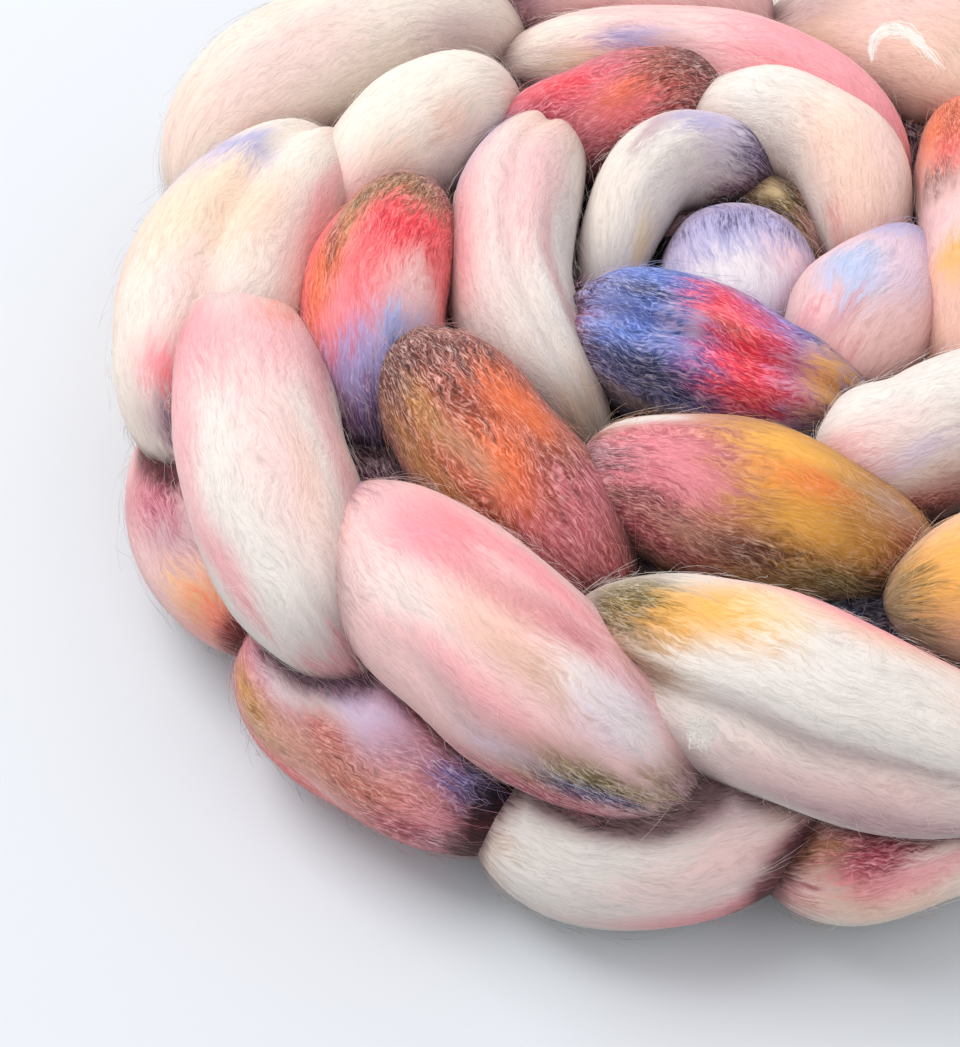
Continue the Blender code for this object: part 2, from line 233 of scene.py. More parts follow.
# Pale backs of fibres and dark gaps between them fade in between two values of a noise. The
# backs are partly paler fibres and partly painted highlight, the gaps painted shade between the
# fibres. Their strengths are how much more of them dark dye has, and how much any dye has.
FINE_BACK, FINE_BACK_STRENGTH, CURLY_BACK_STRENGTH = (0.5, 0.72), (0.35, 0.3), (0.3, 0.12)
FINE_GAP, FINE_GAP_STRENGTH = (0.32, 0.56), (0.5, 0.15)
COARSE_GAP, COARSE_GAP_STRENGTH = (0.25, 0.6), (0.18, 0.1)
GAIN = 1.06  # makes up for the light that the gaps take
FINE_RELIEF, COARSE_RELIEF, CURLY_RELIEF = 0.5, 0.8, 0.2  # shares of the bump's height
BUMP_STRENGTH, BUMP_HEIGHT = 0.5, 0.28 * MM

# Camera: the point that it looks at, its height over the horizon, its distance and its lens, in
# millimetres and degrees.
LOOK_AT = (-46.65, -43.2, 30.0)
CAMERA_RISE = 50.0
CAMERA_AWAY = 500.0
CAMERA_LENS = 91.69
CAMERA_SENSOR = 36.0
CAMERA_NEAR = 0.01  # metres

# Light and ground, in metres.
WINDOW_PLACE, WINDOW_SIZE, WINDOW_WATTS = (-1.1, 0.75, 1.9), 1.5, 33.0
SKY_COLOUR, SKY_STRENGTH = (0.94, 0.968, 1.0), 0.79  # the soft light from all round
PAPER = (0.740, 0.760, 0.790, 1)  # the colour of the ground
FLOOR_HALF = 3.0  # half its side


def dye(name, description, red, green, blue):
    """A dye of the palette, as a property that can be changed."""
    return FloatVectorProperty(
        name=name, description=description, subtype="COLOR", size=3, min=0, max=1,
        default=(red, green, blue),
    )


def dimension(name, description, default, least, most):
    """A length as a property that can be changed, from values in millimetres."""
    return FloatProperty(
        name=name, description=description, default=default * MM, min=least * MM,
        max=most * MM, unit="LENGTH",
    )


class RovingDyes(bpy.types.PropertyGroup):
    cream: dye("Cream", "Nearly undyed wool", 0.93, 0.80, 0.70)
    ivory: dye("Ivory", "Undyed wool", 0.85, 0.77, 0.71)
    peach: dye("Peach", "Palest orange", 0.94, 0.57, 0.44)
    blush: dye("Blush", "Palest pink", 0.93, 0.58, 0.555)
    pink: dye("Pink", "Clear pink", 0.95, 0.32, 0.365)
    rose: dye("Rose", "Dusty rose", 0.62, 0.16, 0.20)
    coral: dye("Coral", "Orange pink", 0.96, 0.19, 0.20)
    scarlet: dye("Scarlet", "Strong red", 0.92, 0.035, 0.06)
    crimson: dye("Crimson", "Deep cool red", 0.42, 0.04, 0.08)
    magenta: dye("Magenta", "Red violet", 0.55, 0.10, 0.18)
    plum: dye("Plum", "Dark red violet", 0.10, 0.025, 0.055)
    mauve: dye("Mauve", "Greyed violet", 0.42, 0.22, 0.28)
    lilac: dye("Lilac", "Pale violet", 0.66, 0.54, 0.72)
    periwinkle: dye("Periwinkle", "Soft blue violet", 0.33, 0.34, 0.64)
    blue: dye("Blue", "Clear blue", 0.10, 0.17, 0.52)
    indigo: dye("Indigo", "Greyed dark blue", 0.11, 0.08, 0.23)
    navy: dye("Navy", "Darkest blue", 0.03, 0.035, 0.12)
    sky: dye("Sky", "Pale grey blue", 0.48, 0.55, 0.78)
    lemon: dye("Lemon", "Pale yellow", 0.93, 0.70, 0.40)
    gold: dye("Gold", "Warm yellow", 0.93, 0.44, 0.07)
    ochre: dye("Ochre", "Brown yellow", 0.52, 0.23, 0.05)
    orange: dye("Orange", "Red orange", 0.90, 0.17, 0.045)
    brick: dye("Brick", "Red brown", 0.44, 0.08, 0.045)
    brown: dye("Brown", "Mauve brown", 0.165, 0.048, 0.038)
    olive: dye("Olive", "Grey green", 0.18, 0.122, 0.025)
    tan: dye("Tan", "Pale brown", 0.60, 0.36, 0.22)
    grey: dye("Grey", "Mauve grey", 0.42, 0.32, 0.32)


class RovingSizes(bpy.types.PropertyGroup):
    lock_depth: dimension(
        "Lock depth", "How deep the grooves between the locks are", 0.55, 0, 4,
    )
    lump_height: dimension(
        "Lump height", "How far the small lumps of a lobe stand out or sink in", 0.45, 0, 2,
    )
    swell: dimension("Swell", "How far a lobe swells and narrows along its length", 1.4, 0, 4)
    bleed: FloatProperty(
        name="Bleed", description="How far a dye runs along the fibres, as a share of a lobe",
        default=0.022, min=0, max=0.3,
    )
    combed_width: dimension(
        "Combed width", "Thickness of a combed fibre on the surface", 0.06, 0.01, 1,
    )
    combed_length: dimension(
        "Combed length", "Mean length of a combed fibre that shows", 8, 1, 80,
    )
    combed_count: IntProperty(
        name="Combed fibres", description="Combed fibres to a square centimetre",
        default=2, min=0, max=200,
    )
    crimp_length: dimension(
        "Crimp length", "Length of one wave of a fibre's crimp", 2.4, 0.2, 20,
    )
    crimp_height: dimension(
        "Crimp height", "How far a fibre's crimp swings to each side", 0.2, 0, 2,
    )
    frizz_width: dimension("Frizz width", "Thickness of a stray fibre", 0.065, 0.01, 1)
    frizz_count: IntProperty(
        name="Frizz", description="Stray fibres to a square centimetre where the dye is dark",
        default=22, min=0, max=200,
    )


def turn_radius(degrees):
    """The radius of the outer turn's upper row: straight lines between the angles of its table."""
    angles, radii = zip(*OUTER_TURN)
    return np.interp(np.mod(degrees, 360), angles, radii)


def polar(degrees, radius, height):
    """Points at an angle, a radius and a height: the spiral's middle plus radius times (cos, sin)."""
    angle = np.radians(degrees)
    place = (
        SPIRAL_X + radius * np.cos(angle),
        SPIRAL_Y + radius * np.sin(angle),
        height + 0 * angle,
    )
    return np.stack(place, axis=-1) * MM


def ring_rows():
    """Rows in the columns of LOBES for every lobe of RINGS, the same as the solid's."""
    dice = random.Random(SEED)

    def uneven(kind):
        return RING_JITTER[kind] * dice.uniform(-1, 1)

    rows = []
    for name, first, last, count, out, slant, reach, low, mid, end, width, depth, tilt in RINGS:
        for index in range(count):
            share = index / (count - 1) if count > 1 else 0
            angle = first + (last - first) * share + uneven("angle")
            radius = float(turn_radius(angle)) + out + uneven("radius")
            lift = uneven("height")
            rows.append((
                f"{name}_{index + 1}",
                angle - reach / 2, radius - slant / 2, low + lift,
                angle, radius, mid + lift,
                angle + reach / 2, radius + slant / 2, end + lift,
                width + uneven("size"), depth + uneven("size"), tilt, 90, 0,
            ))
    return rows


def unit(vectors):
    """Vectors divided by their own length."""
    return vectors / np.maximum(np.linalg.norm(vectors, axis=-1, keepdims=True), 1e-12)


def blob(distance):
    """1 in the middle, 0.37 at a distance of 1, then quickly 0: e to the minus distance cubed."""
    return np.exp(-(np.abs(distance) ** 3))


def wave_noise(turns, along, seed, columns, rows):
    """Smooth noise from -1 to 1 that closes up round a lobe.

    Random numbers stand on a grid of columns round the lobe and rows along it. Between them the
    value is their mean, weighted by 3 t squared minus 2 t cubed both ways.
    """
    grid = np.random.default_rng(seed).uniform(-1, 1, (rows + 2, columns))
    x, y = turns * columns, np.clip(along, 0, 1) * rows
    left, low = np.floor(x).astype(int), np.floor(y).astype(int)
    fx, fy = x - left, y - low
    fx, fy = fx * fx * (3 - 2 * fx), fy * fy * (3 - 2 * fy)
    right = (left + 1) % columns
    left = left % columns
    near = grid[low, left] * (1 - fx) + grid[low, right] * fx
    far = grid[low + 1, left] * (1 - fx) + grid[low + 1, right] * fx
    return near * (1 - fy) + far * fy


class Lobe:
    """One bight of the strand, from a row in the columns of LOBES. It says where its skin is."""

    def __init__(self, row, number):
        self.name, self.number = row[0], number
        self.head, middle, self.tail = (polar(*row[first:first + 3]) for first in (1, 4, 7))
        self.turn = 2 * middle - 0.5 * (self.head + self.tail)
        width, depth, tilt, self.crease_at, self.crease_deep = row[10:15]
        self.half_width, self.half_depth = width * MM / 2, depth * MM / 2
        outward = (middle - polar(0, 0, 0)) * (1, 1, 0)
        outward = unit(outward) if np.linalg.norm(outward) > MM else np.array((0.0, 1.0, 0.0))
        lean = math.radians(tilt)
        self.face = outward * math.sin(lean) + np.array((0, 0, math.cos(lean)))
        along = self.centre_line(np.array(0.5))[1]
        self.rim_side = 1 if np.cross(along, self.face) @ outward > 0 else -1
        line = self.centre_line(np.linspace(0, 1, LENGTH_POINTS))[0]
        self.length = float(np.linalg.norm(np.diff(line, axis=0), axis=1).sum())
        self.girth_round = math.pi * (self.half_width + self.half_depth)

    def centre_line(self, share):
        """Points and directions of the parabola through head, middle and tail, at shares 0 to 1.

        The ends drop away from the face by the drop times (2 share - 1) to a high power.
        """
        share = np.asarray(share)[..., None]
        rest = 1 - share
        point = rest**2 * self.head + 2 * rest * share * self.turn + share**2 * self.tail
        point = point - self.face * END_DROP * MM * (2 * share - 1) ** END_SHARPNESS
        return point, unit(2 * rest * (self.turn - self.head) + 2 * share * (self.tail - self.turn))

    def girth(self, share):
        """Thickness along the lobe, 1 at its middle: the root of 1 minus reach to the power BLUNT."""
        return np.sqrt(np.maximum(1 - np.abs(2 * share - 1) ** BLUNT, 0))

    def relief(self, share, around):
        """How far the surface stands off the plain lobe, in metres.

        Locks are the root of one noise squared plus a softness squared, so their grooves are
        rounded and their backs full. Lumps and the swell are plain noises, the swell the coarser. A
        crease is a narrow blob of depth round one angle.
        """
        sizes = bpy.context.scene.roving_sizes
        turns = around / TURN + TWIST.get(self.name, DEFAULT_TWIST) * (share - 0.5)
        seed = RELIEF_SEED + self.number * SEEDS_TO_A_LOBE
        locks = np.hypot(wave_noise(turns, share, seed, *LOCK_GRID), LOCK_SOFTNESS) - LOCK_MEAN
        lumps = wave_noise(turns, share, seed + 1, *LUMP_GRID)
        swell = wave_noise(around / TURN, share, seed + 2, *SWELL_GRID)
        height = sizes.lock_depth * locks + sizes.lump_height * lumps + sizes.swell * swell
        apart = (np.degrees(around) - self.crease_at + 180) % 360 - 180
        return height - self.crease_deep * MM * np.exp(-((apart / CREASE_SPREAD) ** 2))

    def skin(self, share, around, lift=0.0):
        """Points of the surface and its normals, at shares along and angles round, in radians.

        The point is the centre line's, plus across times half the width times cos, plus up times
        half the depth times sin, both times the girth. The relief and the lift are added along the
        normal. Under the surface that it lies on, the lobe is flattened softly.
        """
        girth = self.girth(share)
        point, direction = self.centre_line(share)
        up = unit(self.face - direction * (direction @ self.face)[..., None])
        across = np.cross(direction, up) * self.rim_side
        cos, sin = np.cos(around)[..., None], np.sin(around)[..., None]
        reach = 2 * share - 1
        slope = BLUNT / 2 * np.abs(reach) ** (BLUNT - 1) * np.sign(reach)
        slope = slope / np.maximum(girth, LEAST_GIRTH)
        slope = slope * (self.half_width + self.half_depth) / self.length
        aside = unit(across * cos / self.half_width * self.half_depth + up * sin)
        normal = unit(aside + direction * slope[..., None])
        ring = across * cos * self.half_width + up * sin * self.half_depth
        raised = self.relief(share, around) * girth + lift
        point = point + ring * girth[..., None] + normal * raised[..., None]
        return settle(point), normal


def settle(points):
    """Points kept above the surface: their height becomes softness times ln(1 + e^(z / softness))."""
    soft = FLOOR_SOFTNESS * MM
    points = points.copy()
    points[..., 2] = soft * np.logaddexp(0, points[..., 2] / soft)
    return points


def all_lobes():
    """Every lobe of the coil, in the order of the tables."""
    rows = [*LOBES, *ENDS, *ring_rows(), *LOW_STRANDS]
    return [Lobe(row, number) for number, row in enumerate(rows)]


def lobes_named(starts):
    """The lobes whose names start in one of the given ways."""
    return [lobe for lobe in all_lobes() if lobe.name.startswith(starts)]


# ---------------------------------------------------------------------------------------- dyeing

# A lobe's first dye covers it. Each patch after it is a dye and how strong it is, where its middle
# lies (share along from the head, degrees round with 0 the rim side and 90 the face), and how far
# it reaches both ways (share, degrees).
DYEING = {
    "outer_a": (
        "cream",
        ("peach", 0.25, 0.9, 100, 0.12, 50), ("peach", 0.15, 0.6, 100, 0.2, 30),
        ("blush", 0.35, 0.6, 150, 0.15, 30), ("blush", 0.3, 0.8, 150, 0.1, 40),
        ("mauve", 0.25, 0.25, 185, 0.12, 30),
    ),
    "outer_b": (
        "cream",
        ("lemon", 0.3, 0.42, 95, 0.14, 45), ("peach", 0.25, 0.42, 95, 0.16, 50),
        ("peach", 0.6, 0.5, 30, 0.2, 25), ("peach", 0.3, 0.4, 130, 0.15, 18),
        ("blush", 0.6, 0.45, 165, 0.2, 20), ("pink", 0.4, 0.3, 170, 0.12, 10),
        ("periwinkle", 0.8, 0.25, 90, 0.05, 26), ("lilac", 0.5, 0.28, 65, 0.05, 25),
        ("blush", 0.4, 0.62, 110, 0.08, 30), ("pink", 1.0, 0.79, 100, 0.06, 28),
        ("coral", 0.7, 0.82, 104, 0.04, 14), ("mauve", 0.8, 0.92, 100, 0.06, 34),
        ("indigo", 0.6, 0.93, 108, 0.05, 16),
    ),
    "outer_c": (
        "ivory",
        ("pink", 0.6, 0.27, 120, 0.14, 80), ("pink", 0.6, 0.22, 80, 0.07, 25),
        ("orange", 0.5, 0.17, 150, 0.03, 20), ("pink", 0.45, 0.42, 50, 0.3, 22),
        ("pink", 0.35, 0.49, 172, 0.2, 18), ("rose", 0.4, 0.3, 183, 0.06, 12),
        ("blush", 0.55, 0.5, 120, 0.28, 24), ("pink", 0.45, 0.7, 52, 0.12, 12),
        ("peach", 0.3, 0.62, 135, 0.12, 14), ("grey", 0.4, 0.88, 110, 0.05, 45),
        ("rose", 0.85, 0.95, 80, 0.04, 70),
    ),
    "outer_d": (
        "blush",
        ("mauve", 0.6, 0.06, 100, 0.05, 60), ("grey", 0.5, 0.2, 50, 0.1, 18),
        ("pink", 1.0, 0.27, 125, 0.13, 36), ("coral", 0.35, 0.33, 140, 0.07, 10),
        ("ivory", 0.6, 0.34, 80, 0.12, 18), ("peach", 0.5, 0.5, 100, 0.12, 22),
        ("rose", 0.45, 0.52, 118, 0.2, 14), ("pink", 0.8, 0.5, 146, 0.16, 12),
        ("tan", 0.3, 0.6, 88, 0.1, 9), ("rose", 0.4, 0.63, 125, 0.08, 16),
        ("ivory", 0.7, 0.68, 102, 0.08, 12), ("lilac", 0.5, 0.76, 100, 0.08, 20),
        ("pink", 0.4, 0.55, 60, 0.18, 12), ("grey", 0.35, 0.56, 50, 0.16, 10),
        ("lilac", 0.55, 0.66, 40, 0.1, 10), ("ochre", 0.7, 0.7, 34, 0.07, 10),
        ("ivory", 0.5, 0.78, 100, 0.07, 14), ("olive", 1.0, 0.79, 52, 0.12, 20),
        ("olive", 0.9, 0.92, 80, 0.05, 34), ("navy", 1.0, 0.81, 40, 0.09, 11),
        ("crimson", 1.0, 0.76, 14, 0.2, 20), ("mauve", 0.6, 0.96, 110, 0.04, 60),
    ),
    "outer_e": (
        "ivory",
        ("olive", 1.0, 0.16, 92, 0.11, 60), ("olive", 1.0, 0.24, 112, 0.06, 20),
        ("ochre", 0.7, 0.27, 96, 0.05, 16), ("gold", 1.0, 0.37, 126, 0.08, 28),
        ("gold", 0.7, 0.3, 112, 0.04, 22), ("lemon", 0.8, 0.44, 138, 0.06, 22),
        ("peach", 0.85, 0.6, 152, 0.17, 17), ("pink", 0.7, 0.62, 162, 0.25, 12),
        ("tan", 0.5, 0.22, 66, 0.09, 16), ("grey", 0.5, 0.6, 60, 0.3, 8),
        ("blush", 0.7, 0.65, 30, 0.3, 25), ("mauve", 0.4, 0.7, 15, 0.25, 14),
        ("peach", 0.3, 0.85, 120, 0.1, 30),
    ),
    "outer_far_1": (
        "peach",
        ("gold", 0.9, 0.15, 95, 0.16, 60), ("olive", 0.7, 0.03, 90, 0.05, 90),
        ("pink", 0.6, 0.6, 150, 0.2, 30),
    ),
    "outer_back_1": (
        "blush",
        ("mauve", 0.8, 0.8, 180, 0.2, 45), ("brown", 0.6, 0.92, 160, 0.1, 50),
    ),
    "loose_end": (
        "cream",
        ("tan", 0.55, 0.55, 120, 0.35, 70), ("tan", 0.6, 0.8, 150, 0.15, 35),
        ("blush", 0.6, 0.6, 120, 0.2, 50), ("mauve", 0.4, 0.88, 120, 0.1, 40),
        ("peach", 0.4, 0.4, 150, 0.2, 40),
    ),
    "inner_a": (
        "blush",
        ("cream", 0.95, 0.96, 100, 0.13, 90), ("lemon", 0.5, 0.85, 150, 0.06, 15),
        ("periwinkle", 0.85, 0.76, 122, 0.06, 16), ("ivory", 0.5, 0.65, 100, 0.08, 30),
        ("pink", 0.8, 0.36, 110, 0.3, 90), ("coral", 0.5, 0.27, 122, 0.2, 9),
        ("pink", 0.9, 0.12, 95, 0.14, 60), ("rose", 0.6, 0.02, 90, 0.05, 50),
    ),
    "inner_b": (
        "cream",
        ("peach", 0.5, 0.42, 135, 0.1, 20), ("peach", 0.4, 0.7, 120, 0.1, 30),
        ("blush", 0.5, 0.85, 100, 0.12, 40), ("mauve", 0.3, 0.6, 165, 0.1, 15),
    ),
    "inner_c": (
        "coral",
        ("tan", 0.9, 0.34, 68, 0.07, 20), ("brown", 0.9, 0.1, 100, 0.12, 100),
        ("olive", 0.8, 0.24, 95, 0.07, 50), ("olive", 0.7, 0.34, 66, 0.07, 16),
        ("ochre", 0.6, 0.44, 60, 0.06, 12), ("scarlet", 1.0, 0.37, 112, 0.07, 38),
        ("orange", 0.9, 0.54, 45, 0.12, 20), ("scarlet", 0.6, 0.5, 95, 0.05, 14),
        ("blush", 0.9, 0.55, 125, 0.07, 28), ("blush", 0.5, 0.6, 140, 0.05, 16),
        ("pink", 0.6, 0.61, 60, 0.05, 14), ("brown", 0.6, 0.45, 50, 0.08, 12),
        ("sky", 0.95, 0.67, 115, 0.06, 30), ("blue", 0.7, 0.72, 112, 0.05, 20),
        ("periwinkle", 0.95, 0.77, 80, 0.08, 45), ("rose", 0.5, 0.72, 30, 0.08, 20),
        ("indigo", 0.95, 0.89, 80, 0.08, 80), ("navy", 1.0, 0.97, 90, 0.06, 120),
    ),
    "inner_d": (
        "brick",
        ("brown", 0.95, 0.1, 90, 0.16, 90), ("brown", 1.0, 0.24, 50, 0.14, 44),
        ("brown", 0.7, 0.31, 96, 0.08, 22), ("ochre", 0.6, 0.38, 40, 0.09, 16),
        ("orange", 0.9, 0.48, 108, 0.11, 24), ("brown", 0.75, 0.48, 68, 0.08, 12),
        ("orange", 0.6, 0.6, 60, 0.12, 25), ("ochre", 0.8, 0.45, 12, 0.2, 13),
        ("tan", 0.4, 0.52, 45, 0.1, 12), ("brown", 0.35, 0.7, 100, 0.1, 25),
        ("rose", 0.7, 0.8, 58, 0.11, 60), ("rose", 0.8, 0.78, 112, 0.08, 22),
        ("crimson", 0.7, 0.96, 60, 0.06, 70),
    ),
    "inner_e": (
        "ochre",
        ("rose", 1.0, 0.27, 60, 0.19, 76), ("pink", 0.6, 0.3, 64, 0.06, 16),
        ("pink", 0.5, 0.38, 50, 0.05, 12), ("plum", 0.85, 0.05, 60, 0.05, 100),
        ("mauve", 0.9, 0.14, 68, 0.05, 30), ("brown", 0.5, 0.23, 30, 0.1, 12),
        ("brown", 0.6, 0.14, 60, 0.03, 14), ("crimson", 0.7, 0.3, 5, 0.2, 22),
        ("tan", 0.4, 0.36, 20, 0.08, 12), ("ivory", 0.95, 0.22, 116, 0.13, 14),
        ("gold", 1.0, 0.56, 88, 0.11, 38), ("orange", 0.6, 0.6, 72, 0.1, 14),
        ("gold", 0.7, 0.66, 50, 0.1, 16), ("ochre", 0.7, 0.73, 60, 0.06, 25),
        ("brown", 0.8, 0.51, 22, 0.1, 11), ("olive", 0.85, 0.78, 8, 0.16, 20),
        ("grey", 0.5, 0.8, 86, 0.05, 20), ("brick", 0.7, 0.89, 60, 0.05, 26),
        ("olive", 0.9, 0.96, 40, 0.05, 60),
    ),
    "inner_f": (
        "ivory",
        ("blush", 0.3, 0.3, 75, 0.16, 20), ("lilac", 0.6, 0.35, 50, 0.12, 10),
        ("pink", 0.4, 0.15, 60, 0.1, 25), ("brick", 0.9, 0.35, 2, 0.25, 24),
        ("crimson", 0.6, 0.3, -16, 0.2, 14),
    ),
    "inner_g": (
        "blush",
        ("orange", 1.0, 0.8, 120, 0.16, 70), ("brick", 0.6, 0.78, 118, 0.12, 20),
        ("scarlet", 0.4, 0.68, 125, 0.05, 20), ("brown", 0.7, 0.6, 140, 0.05, 30),
        ("gold", 0.8, 0.3, 120, 0.08, 20), ("peach", 0.8, 0.12, 120, 0.1, 40),
    ),
    "lower_a": (
        "blush",
        ("cream", 0.5, 0.3, 150, 0.2, 30), ("rose", 0.6, 0.42, 115, 0.12, 40),
        ("magenta", 0.8, 0.5, 128, 0.07, 25), ("mauve", 0.5, 0.62, 130, 0.08, 30),
        ("gold", 0.5, 0.74, 105, 0.05, 30), ("orange", 0.95, 0.84, 115, 0.06, 50),
        ("coral", 0.6, 0.93, 110, 0.05, 50),
    ),
    "lower_b": (
        "rose",
        ("tan", 0.45, 0.45, 100, 0.3, 50), ("lilac", 1.0, 0.36, 148, 0.26, 32),
        ("ivory", 0.6, 0.34, 128, 0.14, 10), ("ochre", 0.85, 0.2, 95, 0.12, 16),
        ("tan", 0.5, 0.3, 80, 0.1, 14), ("brick", 0.7, 0.46, 118, 0.12, 14),
        ("brick", 0.55, 0.6, 100, 0.14, 11), ("mauve", 0.6, 0.62, 136, 0.1, 16),
        ("coral", 0.75, 0.42, 62, 0.14, 15), ("blush", 0.5, 0.52, 74, 0.1, 8),
        ("crimson", 0.8, 0.68, 78, 0.12, 12), ("pink", 0.4, 0.78, 95, 0.1, 8),
        ("indigo", 1.0, 0.84, 135, 0.11, 32), ("mauve", 0.7, 0.85, 75, 0.1, 20),
    ),
    "lower_c": (
        "ivory",
        ("tan", 0.5, 0.06, 110, 0.05, 60), ("brown", 0.5, 0.02, 130, 0.03, 60),
        ("blush", 0.4, 0.55, 90, 0.2, 20), ("mauve", 0.5, 0.7, 150, 0.12, 30),
        ("blush", 0.6, 0.65, 110, 0.1, 22), ("tan", 0.8, 0.82, 130, 0.06, 32),
        ("rose", 0.9, 0.79, 85, 0.1, 20), ("rose", 0.9, 0.68, 52, 0.16, 16),
        ("pink", 0.75, 0.62, 60, 0.3, 14),
    ),
    "lower_d": (
        "cream",
        ("rose", 0.9, 0.05, 100, 0.06, 60), ("brown", 0.6, 0.05, 145, 0.05, 40),
        ("ochre", 0.8, 0.13, 142, 0.1, 25), ("brick", 0.7, 0.22, 108, 0.08, 22),
        ("crimson", 1.0, 0.29, 132, 0.14, 24), ("pink", 0.7, 0.38, 106, 0.2, 14),
        ("peach", 0.5, 0.3, 84, 0.25, 20),
    ),
    "heart_a": (
        "ivory",
        ("blush", 0.6, 0.4, 60, 0.3, 45), ("peach", 0.5, 0.1, 100, 0.1, 50),
        ("pink", 0.45, 0.45, 40, 0.2, 18), ("pink", 0.3, 0.35, 110, 0.2, 30),
        ("indigo", 0.9, 0.13, 32, 0.09, 28), ("lilac", 0.6, 0.24, 22, 0.1, 28),
        ("rose", 0.3, 0.6, 130, 0.2, 7), ("tan", 0.6, 0.93, 60, 0.06, 60),
        ("grey", 0.4, 0.85, 40, 0.06, 30),
    ),
    "heart_b": (
        "ivory",
        ("cream", 0.5, 0.75, 80, 0.15, 40), ("lilac", 0.9, 0.28, 92, 0.12, 60),
        ("periwinkle", 0.5, 0.33, 96, 0.05, 22), ("mauve", 0.55, 0.47, 78, 0.09, 18),
        ("indigo", 1.0, 0.08, 100, 0.1, 130), ("plum", 0.7, 0.05, 150, 0.05, 60),
        ("magenta", 0.5, 0.05, 190, 0.05, 30), ("mauve", 0.6, 0.18, 190, 0.08, 30),
        ("plum", 0.6, 0.1, 210, 0.06, 30), ("lemon", 0.8, 0.85, 150, 0.1, 25),
    ),
    "heart_c": (
        "lilac",
        ("indigo", 0.85, 0.27, 90, 0.08, 80), ("periwinkle", 0.5, 0.4, 95, 0.09, 60),
        ("ivory", 0.5, 0.65, 100, 0.2, 40), ("blush", 0.4, 0.5, 60, 0.1, 20),
    ),
    "heart_d": (
        "blush",
        ("lilac", 0.75, 0.78, 80, 0.15, 60), ("periwinkle", 0.6, 0.84, 100, 0.1, 30),
        ("sky", 1.0, 0.5, 104, 0.12, 28), ("sky", 0.7, 0.44, 84, 0.08, 18),
        ("lilac", 0.5, 0.56, 60, 0.12, 22), ("pink", 0.4, 0.22, 110, 0.12, 16),
        ("pink", 0.35, 0.14, 60, 0.12, 18), ("magenta", 0.3, 0.3, 85, 0.08, 10),
    ),
    "heart_e": (
        "cream",
        ("ivory", 0.9, 0.72, 92, 0.18, 50), ("peach", 0.6, 0.35, 110, 0.2, 50),
        ("peach", 0.55, 0.12, 100, 0.13, 60), ("blush", 0.4, 0.3, 70, 0.12, 24),
        ("olive", 0.6, 0.35, 215, 0.15, 20), ("tan", 0.6, 0.3, 192, 0.1, 14),
        ("indigo", 0.7, 0.62, 212, 0.1, 25), ("coral", 0.3, 0.12, 140, 0.05, 15),
    ),
    "heart_f": (
        "blue",
        ("periwinkle", 0.6, 0.2, 60, 0.07, 50), ("indigo", 0.7, 0.15, 104, 0.06, 30),
        ("navy", 0.9, 0.32, 84, 0.09, 9), ("navy", 0.95, 0.41, 22, 0.12, 17),
        ("indigo", 0.8, 0.28, 0, 0.12, 18), ("plum", 0.9, 0.2, 20, 0.08, 22),
        ("grey", 0.7, 0.42, -8, 0.2, 12), ("plum", 1.0, 0.07, 60, 0.08, 130),
        ("crimson", 0.6, 0.14, 40, 0.04, 30), ("lilac", 0.85, 0.44, 64, 0.03, 22),
        ("scarlet", 1.0, 0.51, 96, 0.07, 30), ("scarlet", 1.0, 0.62, 60, 0.1, 52),
        ("scarlet", 0.9, 0.69, 28, 0.08, 20), ("coral", 0.7, 0.58, 86, 0.04, 10),
        ("brick", 0.6, 0.55, 78, 0.06, 6), ("pink", 0.5, 0.75, 62, 0.04, 30),
        ("gold", 1.0, 0.84, 62, 0.06, 50), ("blush", 0.6, 0.75, 0, 0.08, 14),
        ("mauve", 0.6, 0.56, 126, 0.12, 12), ("olive", 0.9, 0.97, 60, 0.04, 80),
    ),
    "heart_g": (
        "rose",
        ("pink", 0.6, 0.8, 60, 0.15, 30), ("scarlet", 0.7, 0.64, 84, 0.13, 25),
        ("coral", 0.95, 0.5, 130, 0.12, 34), ("orange", 0.5, 0.48, 118, 0.08, 14),
        ("crimson", 0.5, 0.72, 98, 0.07, 14), ("brick", 0.9, 0.33, 110, 0.08, 70),
        ("brown", 0.95, 0.16, 100, 0.16, 90), ("magenta", 0.5, 0.86, 84, 0.08, 22),
        ("mauve", 0.7, 0.86, 100, 0.06, 60), ("indigo", 1.0, 0.94, 105, 0.08, 80),
    ),
    "heart_low": (
        "olive",
        ("lemon", 0.7, 0.38, 100, 0.08, 40), ("plum", 0.8, 0.05, 90, 0.12, 90),
        ("peach", 0.8, 0.75, 90, 0.1, 60), ("pink", 0.6, 0.86, 60, 0.06, 40),
        ("tan", 0.7, 0.95, 90, 0.08, 60),
    ),
    "under_mid_2": ("olive", ("plum", 0.8, 0.6, 200, 0.2, 60)),
}
PALE = ("cream", "ivory", "peach", "blush", "lilac")
# Dark colours for the loops deep between the rows: partly their own dark dye and partly painted shade
# of the crevice that they lie in.
DARK_DYES_AND_SHADE = ("plum", "navy", "brown")
STRONG = (
    "pink", "rose", "coral", "scarlet", "crimson", "mauve", "periwinkle", "blue", "gold", "ochre",
    "orange", "brown", "olive", "blush", "pink", "mauve", "magenta", "lemon", "peach", "sky",
    "blush", "peach", "lilac", "ivory", "pink",
)
# A lobe that has no dyes of its own gets so many patches, each from these least and most values.
GUESSED_PATCHES = 7
GUESSED = {
    "strength": (0.5, 1.0), "share": (0, 1), "degrees": (-60, 240), "reach": (0.06, 0.2),
    "spread": (15, 60),
}
TAKE = 0.65  # the power by which wool takes a weak dye well

